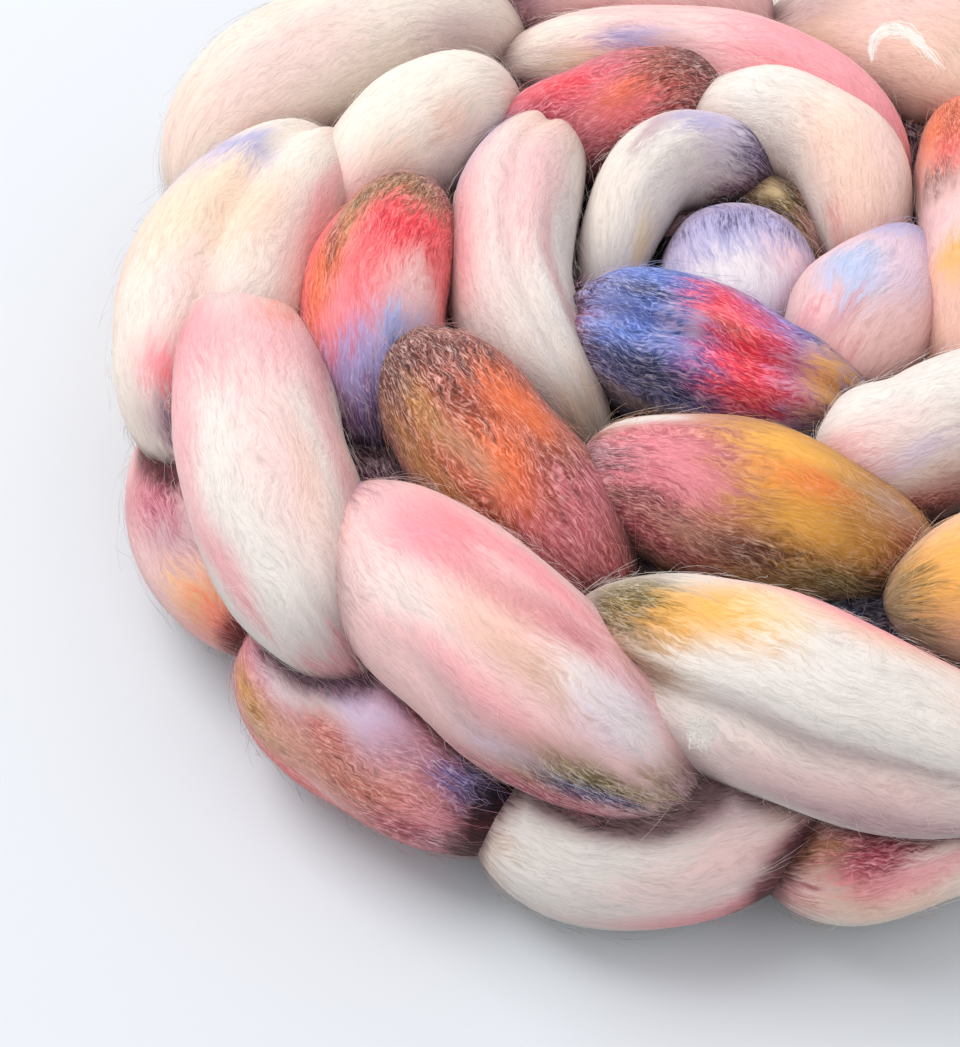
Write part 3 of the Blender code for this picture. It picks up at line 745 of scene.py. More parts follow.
# Painted shade between the lobes: the wool's colour is made darker and deeper there. How far at most
# in red, green and blue.
CREVICE_SHADE = (1.5, 2.0, 1.9)
CREVICE_REACH = 4.4  # millimetres between a place and the next lobe's core at which it is open
CREVICE_TOP, CREVICE_FLOOR = 50.0, 30.0  # heights over which a crevice goes from mild to full
CREVICE_MILD, CREVICE_ON_PALE = 0.2, 0.5  # shares of the painted shade that stay at the top, and on pale dye
LEE_SHADE, LEE_SHADE_POWER, LEE_SHADE_LEAST = 0.2, 1.5, 0.45  # painted shade: how much darker the wool's colour is made where it faces away from the top


def dyes_of(lobe):
    """The lobe's own dye table, or for one that has none a plain dye with patches by seeded dice.

    The loops that lie deep between the rows get the dark colours: partly dark dye and partly painted
    shade of the crevice that they lie in.
    """
    if lobe.name in DYEING:
        return DYEING[lobe.name]
    dice = random.Random(PATCH_SEED + lobe.number)
    patches = [
        (dice.choice(STRONG), *(dice.uniform(*span) for span in GUESSED.values()))
        for _ in range(GUESSED_PATCHES)
    ]
    if lobe.name.startswith("between_"):
        return (dice.choice(DARK_DYES_AND_SHADE), *patches[:1])
    return (dice.choice(PALE), *patches)


def dyed(lobe, share, around, ahead=0.0):
    """Colours at places of a lobe, or of the places that lie ahead of them by a share of it.

    Each patch is laid over those before it by its strength to the power TAKE, times a blob of its
    distance. The place is first moved along by noise that changes quickly round the lobe, as dye
    runs along fibres, and round by a slow noise.
    """
    palette = bpy.context.scene.roving_dyes
    bleed = bpy.context.scene.roving_sizes.bleed
    seed = DYE_SEED + lobe.number * SEEDS_TO_A_LOBE
    turns = around / TURN
    run = wave_noise(turns, share, seed, *BLEED_GRID)
    run = run + COARSE_BLEED * wave_noise(turns, share, seed + 1, *COARSE_BLEED_GRID)
    along = share + ahead + bleed * run
    degrees = np.degrees(around) + DRIFT * wave_noise(turns, share, seed + 2, *DRIFT_GRID)
    base, *patches = dyes_of(lobe)
    colour = np.broadcast_to(np.array(getattr(palette, base)), (*share.shape, 3)).copy()
    for name, strength, at_share, at_degrees, reach, spread in patches:
        aside = (degrees - at_degrees + 180) % 360 - 180
        mask = strength**TAKE * blob(np.hypot((along - at_share) / reach, aside / spread))
        colour += (np.array(getattr(palette, name)) - colour) * mask[..., None]
    return colour


def eased(value, low, high):
    """0 below low, 1 above high, and 3 t squared minus 2 t cubed between."""
    t = np.clip((value - low) / (high - low), 0, 1)
    return t * t * (3 - 2 * t)


def sunk(points, lobe, balls):
    """How deep places of a lobe lie between the others: 0 in the open, 1 on a crevice's floor.

    It is how near the next lobe's core is, times a share that grows from the top of the coil down.
    It is the mask of the painted crevice shade.
    """
    middles, radii, owners = balls
    others = owners != lobe.number
    place = points.reshape(-1, 3)
    apart = np.linalg.norm(place[:, None] - middles[None, others], axis=2)
    gap = (apart - radii[others]).min(axis=1)
    near = 1 - eased(gap, 0, CREVICE_REACH * MM)
    low = 1 - eased(place[:, 2], CREVICE_FLOOR * MM, CREVICE_TOP * MM)
    return (near * (CREVICE_MILD + (1 - CREVICE_MILD) * low)).reshape(points.shape[:-1])


def shaded(colours, depth):
    """Painted crevice shade: colours times e to the minus (depth + its fourth power) times
    CREVICE_SHADE, less where pale.
    """
    depth = (depth + depth**4) * (CREVICE_ON_PALE + (1 - CREVICE_ON_PALE) * darkness(colours))
    return colours * np.exp(-depth[..., None] * np.array(CREVICE_SHADE))


# ---------------------------------------------------------------------------------------- meshes

def add_piece(
    name, points, quads, triangles, dye_and_shade, material, places, lay=None, depth=None, normals=None,
):
    """A mesh object from whole arrays, closed and smooth, that rides with the coil's body.

    The dye and shade are one colour or two for each point: the dye with painted shade in it. The
    places are each corner's place on a flat map, and the lay is its place along the fibres and across
    them. The depth is how sunk a point lies, the mask of the painted crevice shade. Only fibres are
    given normals.
    """
    mesh = bpy.data.meshes.new(name)
    corners = np.concatenate([quads.ravel(), triangles.ravel()]).astype(np.int32)
    starts = np.concatenate([
        np.arange(len(quads)) * 4, len(quads) * 4 + np.arange(len(triangles)) * 3,
    ]).astype(np.int32)
    mesh.vertices.add(len(points))
    mesh.vertices.foreach_set("co", points.astype(np.float32).ravel())
    mesh.loops.add(len(corners))
    mesh.loops.foreach_set("vertex_index", corners)
    mesh.polygons.add(len(starts))
    mesh.polygons.foreach_set("loop_start", starts)
    mesh.update(calc_edges=True)
    mesh.shade_smooth()
    # The colour attributes hold the dye with painted shade in it.
    for layer_name, colours in zip(("dye", "dye_ahead"), dye_and_shade):
        rgba = np.concatenate([colours, np.ones((len(colours), 1))], axis=1).astype(np.float32)
        layer = mesh.attributes.new(layer_name, "FLOAT_COLOR", "POINT")
        layer.data.foreach_set("color", rgba.ravel())
    if lay is not None:
        layer = mesh.attributes.new("lay", "FLOAT_VECTOR", "CORNER")
        layer.data.foreach_set("vector", lay.astype(np.float32).ravel())
    if depth is not None:
        mesh.attributes.new("depth", "FLOAT", "POINT").data.foreach_set("value", depth)
    mesh.uv_layers.new(name=FLAT_MAP).uv.foreach_set("vector", places.astype(np.float32).ravel())
    if normals is not None:
        mesh.normals_split_custom_set_from_vertices(normals)
    mesh.materials.append(material)
    piece = bpy.data.objects.new(name, mesh)
    bpy.context.scene.collection.objects.link(piece)
    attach(piece, BODY)
    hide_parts(NODE)
    return piece


def tiled(places, tile, tiles):
    """Places from 0 to 1 both ways, put into one tile of a square of tiles with a gap round it.

    The tile's number, divided by the tiles in a row, gives its row and its column.
    """
    across = math.ceil(math.sqrt(tiles))
    corner = np.stack([np.mod(tile, across), np.floor_divide(tile, across)], axis=-1)
    return (corner + TILE_GAP + (1 - 2 * TILE_GAP) * places) / across


def grid_faces(columns, rings):
    """Quads between rings of points, and triangles to the two poles that come after them.

    Column c of ring r has number r times columns plus c. Each quad joins it to the next column,
    and both to the next ring.
    """
    ring, column = np.meshgrid(np.arange(rings - 1), np.arange(columns), indexing="ij")
    beside = (column + 1) % columns
    quads = np.stack([
        ring * columns + column, ring * columns + beside,
        (ring + 1) * columns + beside, (ring + 1) * columns + column,
    ], axis=-1).reshape(-1, 4)
    column = np.arange(columns)
    beside = (column + 1) % columns
    first_pole, last_pole = rings * columns, rings * columns + 1
    last = (rings - 1) * columns
    head = np.stack([np.full(columns, first_pole), beside, column], axis=-1)
    tail = np.stack([np.full(columns, last_pole), last + column, last + beside], axis=-1)
    return quads, np.concatenate([head, tail])


def lobe_surface(lobe, columns, rings, tile, tiles, balls):
    """A lobe as (points, dye and shade, dye and shade ahead, depth, quads, triangles, quad corners,
    triangle corners). Its colours are the dye with painted crevice shade and painted lee shade in it.

    Rings lie at shares of (1 - cos) / 2, so that they crowd at the ends, and columns start behind
    the lobe. A corner's five numbers are its lay (metres along, metres round, the lobe's own
    offset) and its place on the flat map, which is its share along and its turn in the lobe's tile.
    """
    steps = np.arange(1, rings + 1) / (rings + 1)
    shares = (1 - np.cos(math.pi * steps)) / 2
    arounds = -math.pi / 2 + TURN * np.arange(columns) / columns
    share, around = np.meshgrid(shares, arounds, indexing="ij")
    ends, face = np.array((0.0, 1.0)), np.full(2, math.pi / 2)
    skin, facing = lobe.skin(share, around)
    points = np.concatenate([skin.reshape(-1, 3), settle(lobe.centre_line(ends)[0])])
    depth = sunk(points, lobe, balls)
    # Painted shade: the wool is made darker where it faces away from the top, and between the lobes
    # by painted crevice shade.
    lee_shade = np.concatenate([facing[..., 2].ravel(), np.zeros(2)])
    lee_shade = np.clip(1 - LEE_SHADE * (1 - lee_shade) ** LEE_SHADE_POWER, LEE_SHADE_LEAST, 1)[:, None]
    dye_and_shade = [
        lee_shade * shaded(np.concatenate([
            dyed(lobe, share, around, ahead).reshape(-1, 3), dyed(lobe, ends, face, ahead),
        ]), depth)
        for ahead in (-DYE_STEP * MM / lobe.length, DYE_STEP * MM / lobe.length)
    ]
    quads, triangles = grid_faces(columns, rings)
    column = np.arange(columns)
    quad_share = np.repeat(
        np.stack([shares[:-1], shares[:-1], shares[1:], shares[1:]], axis=-1), columns, axis=0,
    )
    quad_round = np.stack([column, column + 1, column + 1, column], axis=-1) / columns
    quad_round = np.tile(quad_round, (rings - 1, 1))
    tip_share = np.concatenate([
        np.tile((0.0, shares[0], shares[0]), (columns, 1)),
        np.tile((1.0, shares[-1], shares[-1]), (columns, 1)),
    ])
    tip_round = np.concatenate([
        np.stack([column + 0.5, column + 1, column], axis=-1) / columns,
        np.stack([column + 0.5, column, column + 1], axis=-1) / columns,
    ])
    twist = TWIST.get(lobe.name, DEFAULT_TWIST)
    corners = []
    for along, turns in ((quad_share, quad_round), (tip_share, tip_round)):
        lay = np.stack([
            along * lobe.length,
            (turns + twist * (along - 0.5)) * lobe.girth_round,
            np.full(along.shape, lobe.number * LAY_GAP),
        ], axis=-1)
        place = tiled(np.stack([along, turns], axis=-1), tile, tiles)
        corners.append(np.concatenate([lay, place], axis=-1))
    # Columns run from the rim side to the face, so the rim side says which way the faces turn.
    if lobe.rim_side > 0:
        quads, triangles = quads[:, ::-1], triangles[:, ::-1]
        corners = [each[:, ::-1] for each in corners]
    return points, *dye_and_shade, depth, quads, triangles, *corners


def joined(surfaces):
    """Several surfaces of lobe_surface as one, with the points of their faces numbered on."""
    offset, parts = 0, []
    for points, dye_and_shade_here, dye_ahead, depth, quads, triangles, *corners in surfaces:
        faces = quads + offset, triangles + offset
        parts.append((points, dye_and_shade_here, dye_ahead, depth, *faces, *corners))
        offset += len(points)
    return [np.concatenate(each) for each in zip(*parts)]


def fibre_surface(paths, widths, colours, facing):
    """Fibres as (points, quads, triangles, colours, places, normals).

    The paths hold a point for each fibre and station, and the colours and the facing go with
    them. Each fibre is a three-sided tube that thins to a point at both ends. Round a station its
    corners are the point plus the radius times (cos of a third of a turn times one side vector,
    plus sin times the other), both square to the fibre. Each has its own tile of the flat map. A
    corner's normal leans to where the wool below faces, as light goes through so thin a fibre.
    """
    count, stations = paths.shape[:2]
    ahead = unit(np.gradient(paths, axis=1))
    side = unit(np.cross(ahead, np.array(FIBRE_SIDE)))
    other = np.cross(ahead, side)
    inner = slice(1, stations - 1)
    share = np.arange(1, stations - 1) / (stations - 1)
    radius = widths[:, None] / 2 * np.sin(math.pi * share) ** FIBRE_TAPER
    corner = TURN * np.arange(3)[:, None] / 3
    spoke = np.cos(corner) * side[:, inner, None] + np.sin(corner) * other[:, inner, None]
    rings = paths[:, inner, None] + radius[:, :, None, None] * spoke
    ring_normals = unit(facing[:, inner, None] + FIBRE_ROUNDNESS * spoke).reshape(count, -1, 3)
    normals = np.concatenate([ring_normals, facing[:, (0, -1)]], axis=1)
    points = np.concatenate([rings.reshape(count, -1, 3), paths[:, (0, -1)]], axis=1)
    quads, triangles = grid_faces(3, stations - 2)
    first = (np.arange(count) * points.shape[1])[:, None, None]
    ring_colours = np.repeat(colours[:, inner], 3, axis=1)
    point_colours = np.concatenate([ring_colours, colours[:, (0, -1)]], axis=1)
    edge, third = np.arange(stations - 3), np.arange(3)
    left, low = np.meshgrid(edge + 1, third, indexing="ij")
    flat = np.stack([
        np.stack([left, left, left + 1, left + 1], axis=-1) / (stations - 1),
        np.stack([low, low + 1, low + 1, low], axis=-1) / 3,
    ], axis=-1).reshape(-1, 4, 2)
    last = stations - 1
    tips = np.concatenate([
        np.stack([
            np.tile((at, inside, inside), (3, 1)) / last,
            np.stack([third + 0.5, third + one, third + two], axis=-1) / 3,
        ], axis=-1)
        for at, inside, one, two in ((0, 1, 1, 0), (last, last - 1, 0, 1))
    ])
    tile = np.arange(count)[:, None, None]
    places = [tiled(each[None], tile, count).reshape(-1, 2) for each in (flat, tips)]
    return (
        points.reshape(-1, 3), (quads[None] + first).reshape(-1, 4),
        (triangles[None] + first).reshape(-1, 3), point_colours.reshape(-1, 3),
        np.concatenate(places), normals.reshape(-1, 3),
    )


def core_balls(lobes):
    """Balls along every lobe's centre line: their middles, their radii and their lobe's number."""
    share = np.linspace(BALLS_FROM, 1 - BALLS_FROM, BALLS)
    middles = np.concatenate([lobe.centre_line(share)[0] for lobe in lobes])
    radii = np.concatenate([
        lobe.girth(share) * min(lobe.half_width, lobe.half_depth) for lobe in lobes
    ])
    return middles, radii, np.repeat([lobe.number for lobe in lobes], len(share))


def bare(points, lobe, balls):
    """True for points of a lobe that no other lobe's balls cover."""
    middles, radii, owners = balls
    others = owners != lobe.number
    apart = np.linalg.norm(points[:, None] - middles[None, others], axis=2)
    return (apart > radii[others] - COVER * MM).all(axis=1)


def places_on(lobe, density, dice, balls):
    """Seeded places on the part of a lobe that shows: shares along and angles round."""
    wanted = int(lobe.length * lobe.girth_round * SKIN_SHARE * PER_SQUARE_CM * density)
    share = 0.5 - 0.5 * np.cos(math.pi * dice.uniform(FIBRES_FROM, 1 - FIBRES_FROM, wanted))
    around = dice.uniform(0, TURN, wanted)
    shown = bare(lobe.skin(share, around)[0], lobe, balls)
    return share[shown], around[shown]


def darkness(colours):
    """0 for a pale dye and 1 for a black one: 1 minus its lightness over that of a pale dye."""
    return 1 - np.clip(colours @ np.array(LUMINANCE) / PALE_LIGHT, 0, 1)


def toned(colours, tone):
    """Colours of fibres brought by their tone towards undyed wool with a tint of their own dye. The
    lighter tone is partly the fibres' paler colour and partly painted light, as a lone fibre catches
    light.
    """
    tint = (colours / colours.max(axis=-1, keepdims=True)) ** TINT_POWER
    return colours + (np.array(UNDYED) * tint - colours) * tone


def combed_fibres(lobe, density, dice, balls):
    """Fibres that follow a lobe's lay, as (paths, widths, colours, facing).

    A path's station is the place, moved along by its share of the fibre's length and round by a
    small slant, and by the crimp: its height times the sine of the length so far over the crimp's
    length. It is lifted off by a bow that lets its ends stand free.
    """
    sizes = bpy.context.scene.roving_sizes
    share, around = places_on(lobe, density, dice, balls)
    count = len(share)
    step = np.linspace(-0.5, 0.5, COMBED.stations)
    length = (sizes.combed_length * dice.uniform(*COMBED.reach, count))[:, None]
    along = np.clip(share[:, None] + step * length / lobe.length, COMBED.clear, 1 - COMBED.clear)
    twist = TURN * TWIST.get(lobe.name, DEFAULT_TWIST) / lobe.length
    slant = dice.normal(0, COMBED.slope, (count, 1)) * length / lobe.half_width + twist * length
    wave = TURN * (step * length / sizes.crimp_length + dice.uniform(0, 1, (count, 1)))
    crimp = sizes.crimp_height * dice.uniform(*COMBED.crimp, (count, 1)) * np.sin(wave)
    angle = around[:, None] - slant * step + crimp / lobe.half_width
    free = dice.uniform(0, 1, (count, 2)) ** COMBED.free_rarity * COMBED.free_end * MM
    lift = (COMBED.lift + dice.uniform(0, COMBED.lift_more, (count, 1))) * MM
    lift = lift + COMBED.crimp_lift * np.abs(crimp)
    for end, side in ((free[:, :1], -2), (free[:, 1:], 2)):
        lift = lift + end * np.maximum(side * step, 0) ** COMBED.free_bow
    paths, facing = lobe.skin(along, angle, lift)
    own = dyed(lobe, share, around)
    tone = dice.uniform(*COMBED.tone, (count, 1)) + COMBED.tone_on_dark * darkness(own)[:, None]
    # Painted crevice shade, from the place where the fibre lies.
    own = shaded(toned(own, tone), sunk(lobe.skin(share, around)[0], lobe, balls))
    colours = np.repeat(own[:, None], len(step), axis=1)
    return paths, sizes.combed_width * dice.uniform(*COMBED.width, count), colours, facing


def frizzy_fibres(lobe, density, dice, balls):
    """Crimped stray fibres, as (paths, widths, colours, facing), more of them on dark dye.

    A path runs off in any direction over the lobe and winds round that line: it adds a circle's
    cos and sin to the place along, round and off the surface. One in a few is long and stands
    well off.
    """
    sizes = bpy.context.scene.roving_sizes
    share, around = places_on(lobe, density, dice, balls)
    own = dyed(lobe, share, around)
    wanted = FRIZZ.kept_on_pale + (1 - FRIZZ.kept_on_pale) * darkness(own)
    kept = dice.uniform(0, 1, len(share)) < wanted
    share, around, own = share[kept], around[kept], own[kept]
    count = (len(share), 1)
    far = (dice.uniform(0, 1, count) < 1 / FRIZZ.one_far_in).astype(float)
    step = np.linspace(0, 1, FRIZZ.stations)
    length = dice.uniform(*FRIZZ.length, count) * MM * (1 + FRIZZ.far_longer * far)
    heading = dice.normal(0, FRIZZ.heading, count)
    swing = dice.uniform(0, TURN, count) + TURN * dice.uniform(*FRIZZ.turns, count) * step
    wide = dice.uniform(*FRIZZ.wide, count) * MM
    ahead = length * step * np.cos(heading) + wide * np.cos(swing)
    aside = length * step * np.sin(heading) + wide * np.sin(swing)
    rise = dice.uniform(0, 1, count) ** FRIZZ.rise_rarity * FRIZZ.rise * MM
    rise = rise * (1 + FRIZZ.far_higher * far)
    loop = FRIZZ.loop_lift * wide * (1 + np.sin(swing * FRIZZ.loop_turns))
    lift = FRIZZ.lift * MM + rise * step**FRIZZ.rise_bend + loop
    along = np.clip(share[:, None] + ahead / lobe.length, FRIZZ.clear, 1 - FRIZZ.clear)
    angle = around[:, None] + aside / (lobe.girth_round / TURN)
    paths, facing = lobe.skin(along, angle, lift)
    tone = dice.uniform(*FRIZZ.tone, count) + FRIZZ.tone_on_dark * darkness(own)[:, None]
    # Painted crevice shade, from the place where the fibre starts, at a share of it.
    own = shaded(toned(own, tone), FRIZZ.shade * sunk(lobe.skin(share, around)[0], lobe, balls))
    colours = np.repeat(own[:, None], len(step), axis=1)
    colours = colours * (1 - FRIZZ.far_darker * far[..., None])
    return paths, sizes.frizz_width * dice.uniform(*FRIZZ.width, len(share)), colours, facing


# -------------------------------------------------------------------------------------- materials

class Signal:
    """An output socket in a node tree. Sums on it add Math nodes."""

    def __init__(self, tree, socket=None):
        self.tree, self.socket = tree, socket

    def node(self, kind, settings=None, inputs=None, output=0):
        """Adds any node: its settings are set first, then the values or links of its sockets."""
        made = self.tree.nodes.new(kind)
        for key, value in (settings or {}).items():
            setattr(made, key, value)
        for key, value in (inputs or {}).items():
            if isinstance(value, Signal):
                self.tree.links.new(value.socket, made.inputs[key])
            else:
                made.inputs[key].default_value = value
        return Signal(self.tree, made.outputs[output])

    def maths(self, operation, first, second=0.0):
        settings = {"operation": operation}
        return self.node("ShaderNodeMath", settings, {0: first, 1: second})

    def __add__(self, other):
        return self.maths("ADD", self, other)

    def __radd__(self, other):
        return self.maths("ADD", other, self)

    def __sub__(self, other):
        return self.maths("SUBTRACT", self, other)

    def __rsub__(self, other):
        return self.maths("SUBTRACT", other, self)

    def __mul__(self, other):
        return self.maths("MULTIPLY", self, other)

    def __abs__(self):
        return self.maths("ABSOLUTE", self)

    def stretched(self, *factors):
        """This vector with each part multiplied by its own factor."""
        return self.node("ShaderNodeVectorMath", {"operation": "MULTIPLY"}, {0: self, 1: factors})

    def noise(self, scale, detail, rough=0.5, distortion=0.0):
        inputs = {"Vector": self, "Scale": scale, "Detail": detail, "Roughness": rough,
                  "Distortion": distortion}
        return self.node("ShaderNodeTexNoise", None, inputs)

    def faded(self, low, high):
        """0 below low, 1 above high, and smooth between."""
        inputs = {"Value": self, "From Min": low, "From Max": high}
        return self.node("ShaderNodeMapRange", {"interpolation_type": "SMOOTHSTEP"}, inputs)

    def mixed(self, share, other):
        """This colour brought towards another by a share."""
        settings = {"data_type": "RGBA", "clamp_factor": True}
        return self.node("ShaderNodeMix", settings, {0: share, 6: self, 7: other}, output=2)

    def scaled(self, factor):
        """This colour times a number."""
        settings = {"operation": "SCALE"}
        return self.node("ShaderNodeVectorMath", settings, {0: self, "Scale": factor})


def new_material(name, constants):
    """A material with a Principled shader whose own sockets hold the constants, and its tree."""
    material = bpy.data.materials.new(name)
    material.use_nodes = True
    shader = material.node_tree.nodes["Principled BSDF"]
    for socket, value in constants.items():
        shader.inputs[socket].default_value = value
    return material, shader, Signal(material.node_tree)


def attribute(tree, name, output):
    """An attribute of the mesh: output 0 is its colour, 1 its vector and 2 its value."""
    return tree.node("ShaderNodeAttribute", {"attribute_name": name}, output=output)


def combed_wool():
    """Dyed wool combed along the lay, with crimped fibres that show the more the darker it is.

    The lay is slanted by slow noise and waved by the crimp. Noise drawn out along it gives the
    fine and the coarse fibres. They choose between the colours of two places that lie one ahead of
    the other, dye with painted shade in it, and then go lighter on their backs and darker in their
    gaps. The lighter backs are partly paler fibres and partly a painted highlight that fades where
    the wool is sunk; the darker gaps are painted shade between the fibres. The curly fibres are
    lines where a noise is near its middle value, one noise for each layer.
    """
    material, shader, tree = new_material("combed wool", {
        "Roughness": 0.9, "Specular IOR Level": 0.15, "Sheen Weight": 0.12,
        "Sheen Roughness": 0.6, "Sheen Tint": (1.0, 0.95, 0.92, 1),
    })
    links = material.node_tree.links
    lay = attribute(tree, "lay", 1)
    wander = lay.stretched(*WANDER_WAVES).noise(1.0, detail=1.0)
    along = tree.node("ShaderNodeSeparateXYZ", None, {"Vector": lay})
    phase = along * (TURN / WAVE_LENGTH) + wander * WANDER_PHASE
    shift = (wander - 0.5) * WANDER_REACH + tree.maths("SINE", phase) * WAVE_HEIGHT
    shift = tree.node("ShaderNodeCombineXYZ", None, {"Y": shift})
    strayed = tree.node("ShaderNodeVectorMath", {"operation": "ADD"}, {0: lay, 1: shift})
    fine = strayed.stretched(*FINE_WAVES).noise(1.0, detail=2.0, rough=0.65)
    coarse = strayed.stretched(*COARSE_WAVES).noise(1.0, detail=1.0)
    choice = (fine * 0.5 + coarse * 0.5).faded(*DYE_CHOICE)
    # The colour attributes hold the dye with painted crevice shade and painted lee shade in it.
    colour = attribute(tree, "dye", 0).mixed(choice, attribute(tree, "dye_ahead", 0))
    light = tree.node("ShaderNodeRGBToBW", None, {"Color": colour})
    dark = 1 - light.faded(0.0, DARK_BELOW)
    # Painted highlight: the pale backs fade where the wool is sunk between the lobes.
    bare = 1 - attribute(tree, "depth", 2)
    whiteness = PALE_SHARE + dark * PALE_SHARE_ON_DARK
    pale = colour.scaled(1 + dark * PALE_GAIN).mixed(whiteness, (*UNDYED, 1))
    curly = 0.0
    for scale, offset in CURLY_LAYERS:
        layer = strayed.stretched(CURLY_STRETCH, 1.0, offset)
        line = layer.noise(scale, detail=1.0, rough=0.45, distortion=0.5)
        curly = curly + (1 - abs(line - 0.5).faded(*CURLY_EDGE))

    def strength(on_dark, on_any):
        return dark * on_dark + on_any

    back = fine.faded(*FINE_BACK) * strength(*FINE_BACK_STRENGTH)
    back = back + curly * strength(*CURLY_BACK_STRENGTH)
    gap = (1 - fine.faded(*FINE_GAP)) * strength(*FINE_GAP_STRENGTH)
    gap = gap + (1 - coarse.faded(*COARSE_GAP)) * strength(*COARSE_GAP_STRENGTH)
    colour = colour.mixed(back * bare, pale).scaled(GAIN - gap)
    height = fine * FINE_RELIEF + coarse * COARSE_RELIEF + curly * CURLY_RELIEF
    bump = tree.node("ShaderNodeBump", None, {
        "Strength": BUMP_STRENGTH, "Distance": BUMP_HEIGHT, "Height": height,
    })
    links.new(colour.socket, shader.inputs["Base Color"])
    links.new(bump.socket, shader.inputs["Normal"])
    return material


def loose_fibre():
    """A single wool fibre in its own dye. On the loops' fibres the colour also holds painted crevice
    shade and painted light.
    """
    material, shader, tree = new_material("loose fibre", {
        "Roughness": 0.7, "Specular IOR Level": 0.3, "Sheen Weight": 0.2,
    })
    material.node_tree.links.new(attribute(tree, "dye", 0).socket, shader.inputs["Base Color"])
    return material


def paper():
    """The pale surface that the coil lies on."""
    constants = {"Base Color": PAPER, "Roughness": 0.9, "Specular IOR Level": 0.1}
    return new_material("pale paper", constants)[0]


def made_once(maker):
    """The material that a maker makes, made only once. Its name is the maker's, with a space."""
    name = maker.__name__.replace("_", " ")
    return bpy.data.materials.get(name) or maker()


# -------------------------------------------------------------------------------------- operators

def build_loops(name):
    """Adds one piece of lobes from LOBE_PIECES."""
    starts, columns, rings = LOBE_PIECES[name]
    lobes = lobes_named(starts)
    balls = core_balls(all_lobes())
    points, *dye_and_shade, depth, quads, triangles, quad_corners, tip_corners = joined([
        lobe_surface(lobe, columns, rings, tile, len(lobes), balls)
        for tile, lobe in enumerate(lobes)
    ])
    corners = np.concatenate([quad_corners.reshape(-1, 5), tip_corners.reshape(-1, 5)])
    places, lay = corners[:, 3:], corners[:, :3]
    add_piece(name, points, quads, triangles, dye_and_shade, made_once(combed_wool), places, lay, depth)


class ROVING_OT_outer_loops(bpy.types.Operator):
    """Adds the outer turn's upper loops"""

    bl_idname = "roving.outer_loops"
    bl_label = "Outer loops"

    def execute(self, context):
        build_loops("outer_loops")
        build_loops("loose_end_loop")
        return {"FINISHED"}


class ROVING_OT_inner_loops(bpy.types.Operator):
    """Adds the loops of the outer turn's inner side"""

    bl_idname = "roving.inner_loops"
    bl_label = "Inner loops"

    def execute(self, context):
        build_loops("inner_loops")
        return {"FINISHED"}


class ROVING_OT_heart_loops(bpy.types.Operator):
    """Adds the loops of the inner turn"""

    bl_idname = "roving.heart_loops"
    bl_label = "Heart loops"

    def execute(self, context):
        build_loops("heart_loops")
        return {"FINISHED"}


class ROVING_OT_lower_loops(bpy.types.Operator):
    """Adds the lower row of the rim, the loops between the rows and those of the underside"""

    bl_idname = "roving.lower_loops"
    bl_label = "Lower loops"

    def execute(self, context):
        for name in ("lower_loops", "between_loops", "under_loops"):
            build_loops(name)
        return {"FINISHED"}


class ROVING_OT_packing(bpy.types.Operator):
    """Adds the wool packed between the rows"""

    bl_idname = "roving.packing"
    bl_label = "Packing"

    columns: IntProperty(name="Columns", description="Points round the packing", default=96, min=8)
    rings: IntProperty(name="Rings", description="Rings of points", default=20, min=4)

    def execute(self, context):
        """The packing's radius is the turn's, less a margin, times the root of 1 - level^4."""
        level = -np.cos(math.pi * np.arange(1, self.rings + 1) / (self.rings + 1))
        degrees = 360 * np.arange(self.columns) / self.columns
        level, degrees = np.meshgrid(level, degrees, indexing="ij")
        middle, half = (PACKING_LOW + PACKING_HIGH) / 2, (PACKING_HIGH - PACKING_LOW) / 2
        radius = np.sqrt(1 - level**4) * (turn_radius(degrees) - PACKING_MARGIN)
        points = polar(degrees, radius, middle + half * level).reshape(-1, 3)
        poles = polar(np.zeros(2), np.zeros(2), np.array((PACKING_LOW, PACKING_HIGH)))
        quads, triangles = grid_faces(self.columns, self.rings)
        points = np.concatenate([points, poles])
        # Painted shade: the packing is dark plum with the full painted crevice shade, as it lies in
        # deep shade between the rows.
        painted_shade_colour = np.broadcast_to(np.array(context.scene.roving_dyes.plum), points.shape)
        lay = points[np.concatenate([quads.ravel(), triangles.ravel()])]
        low, high = points.min(axis=0), points.max(axis=0)
        places = ((lay - low) / (high - low))[:, :2]
        depth = np.ones(len(points))
        dye_and_shade, wool = [shaded(painted_shade_colour, depth)] * 2, made_once(combed_wool)
        add_piece("packing", points, quads, triangles, dye_and_shade, wool, places, lay, depth)
        return {"FINISHED"}


# The pieces of fibres: which lobes they lie on, and their share of the full density there.
COMBED_PIECES = {
    "combed_rim": {"outer_": 1.0, "loose_end": 1.0, "lower_": 1.0},
    "combed_middle": {"inner_": 1.0, "heart_": 1.0, "between_": 0.3, "under_": 0.1},
}
FRIZZ_PIECES = {
    "frizz_rim": {"outer_": 1.0, "loose_end": 1.0},
    "frizz_low": {"lower_": 1.0, "under_": 0.15},
    "frizz_middle": {"inner_": 1.0, "between_": 0.4},
    "frizz_heart": {"heart_": 1.0},
}


def add_fibres(name, parts):
    """One piece from several (paths, widths, colours, facing). Light goes through such fibres."""
    paths, widths, colours, facing = (np.concatenate(each) for each in zip(*parts))
    points, quads, triangles, dye_and_shade, places, normals = fibre_surface(paths, widths, colours, facing)
    wool = made_once(loose_fibre)
    piece = add_piece(name, points, quads, triangles, (dye_and_shade,), wool, places, normals=normals)
    piece.visible_shadow = piece.visible_diffuse = False


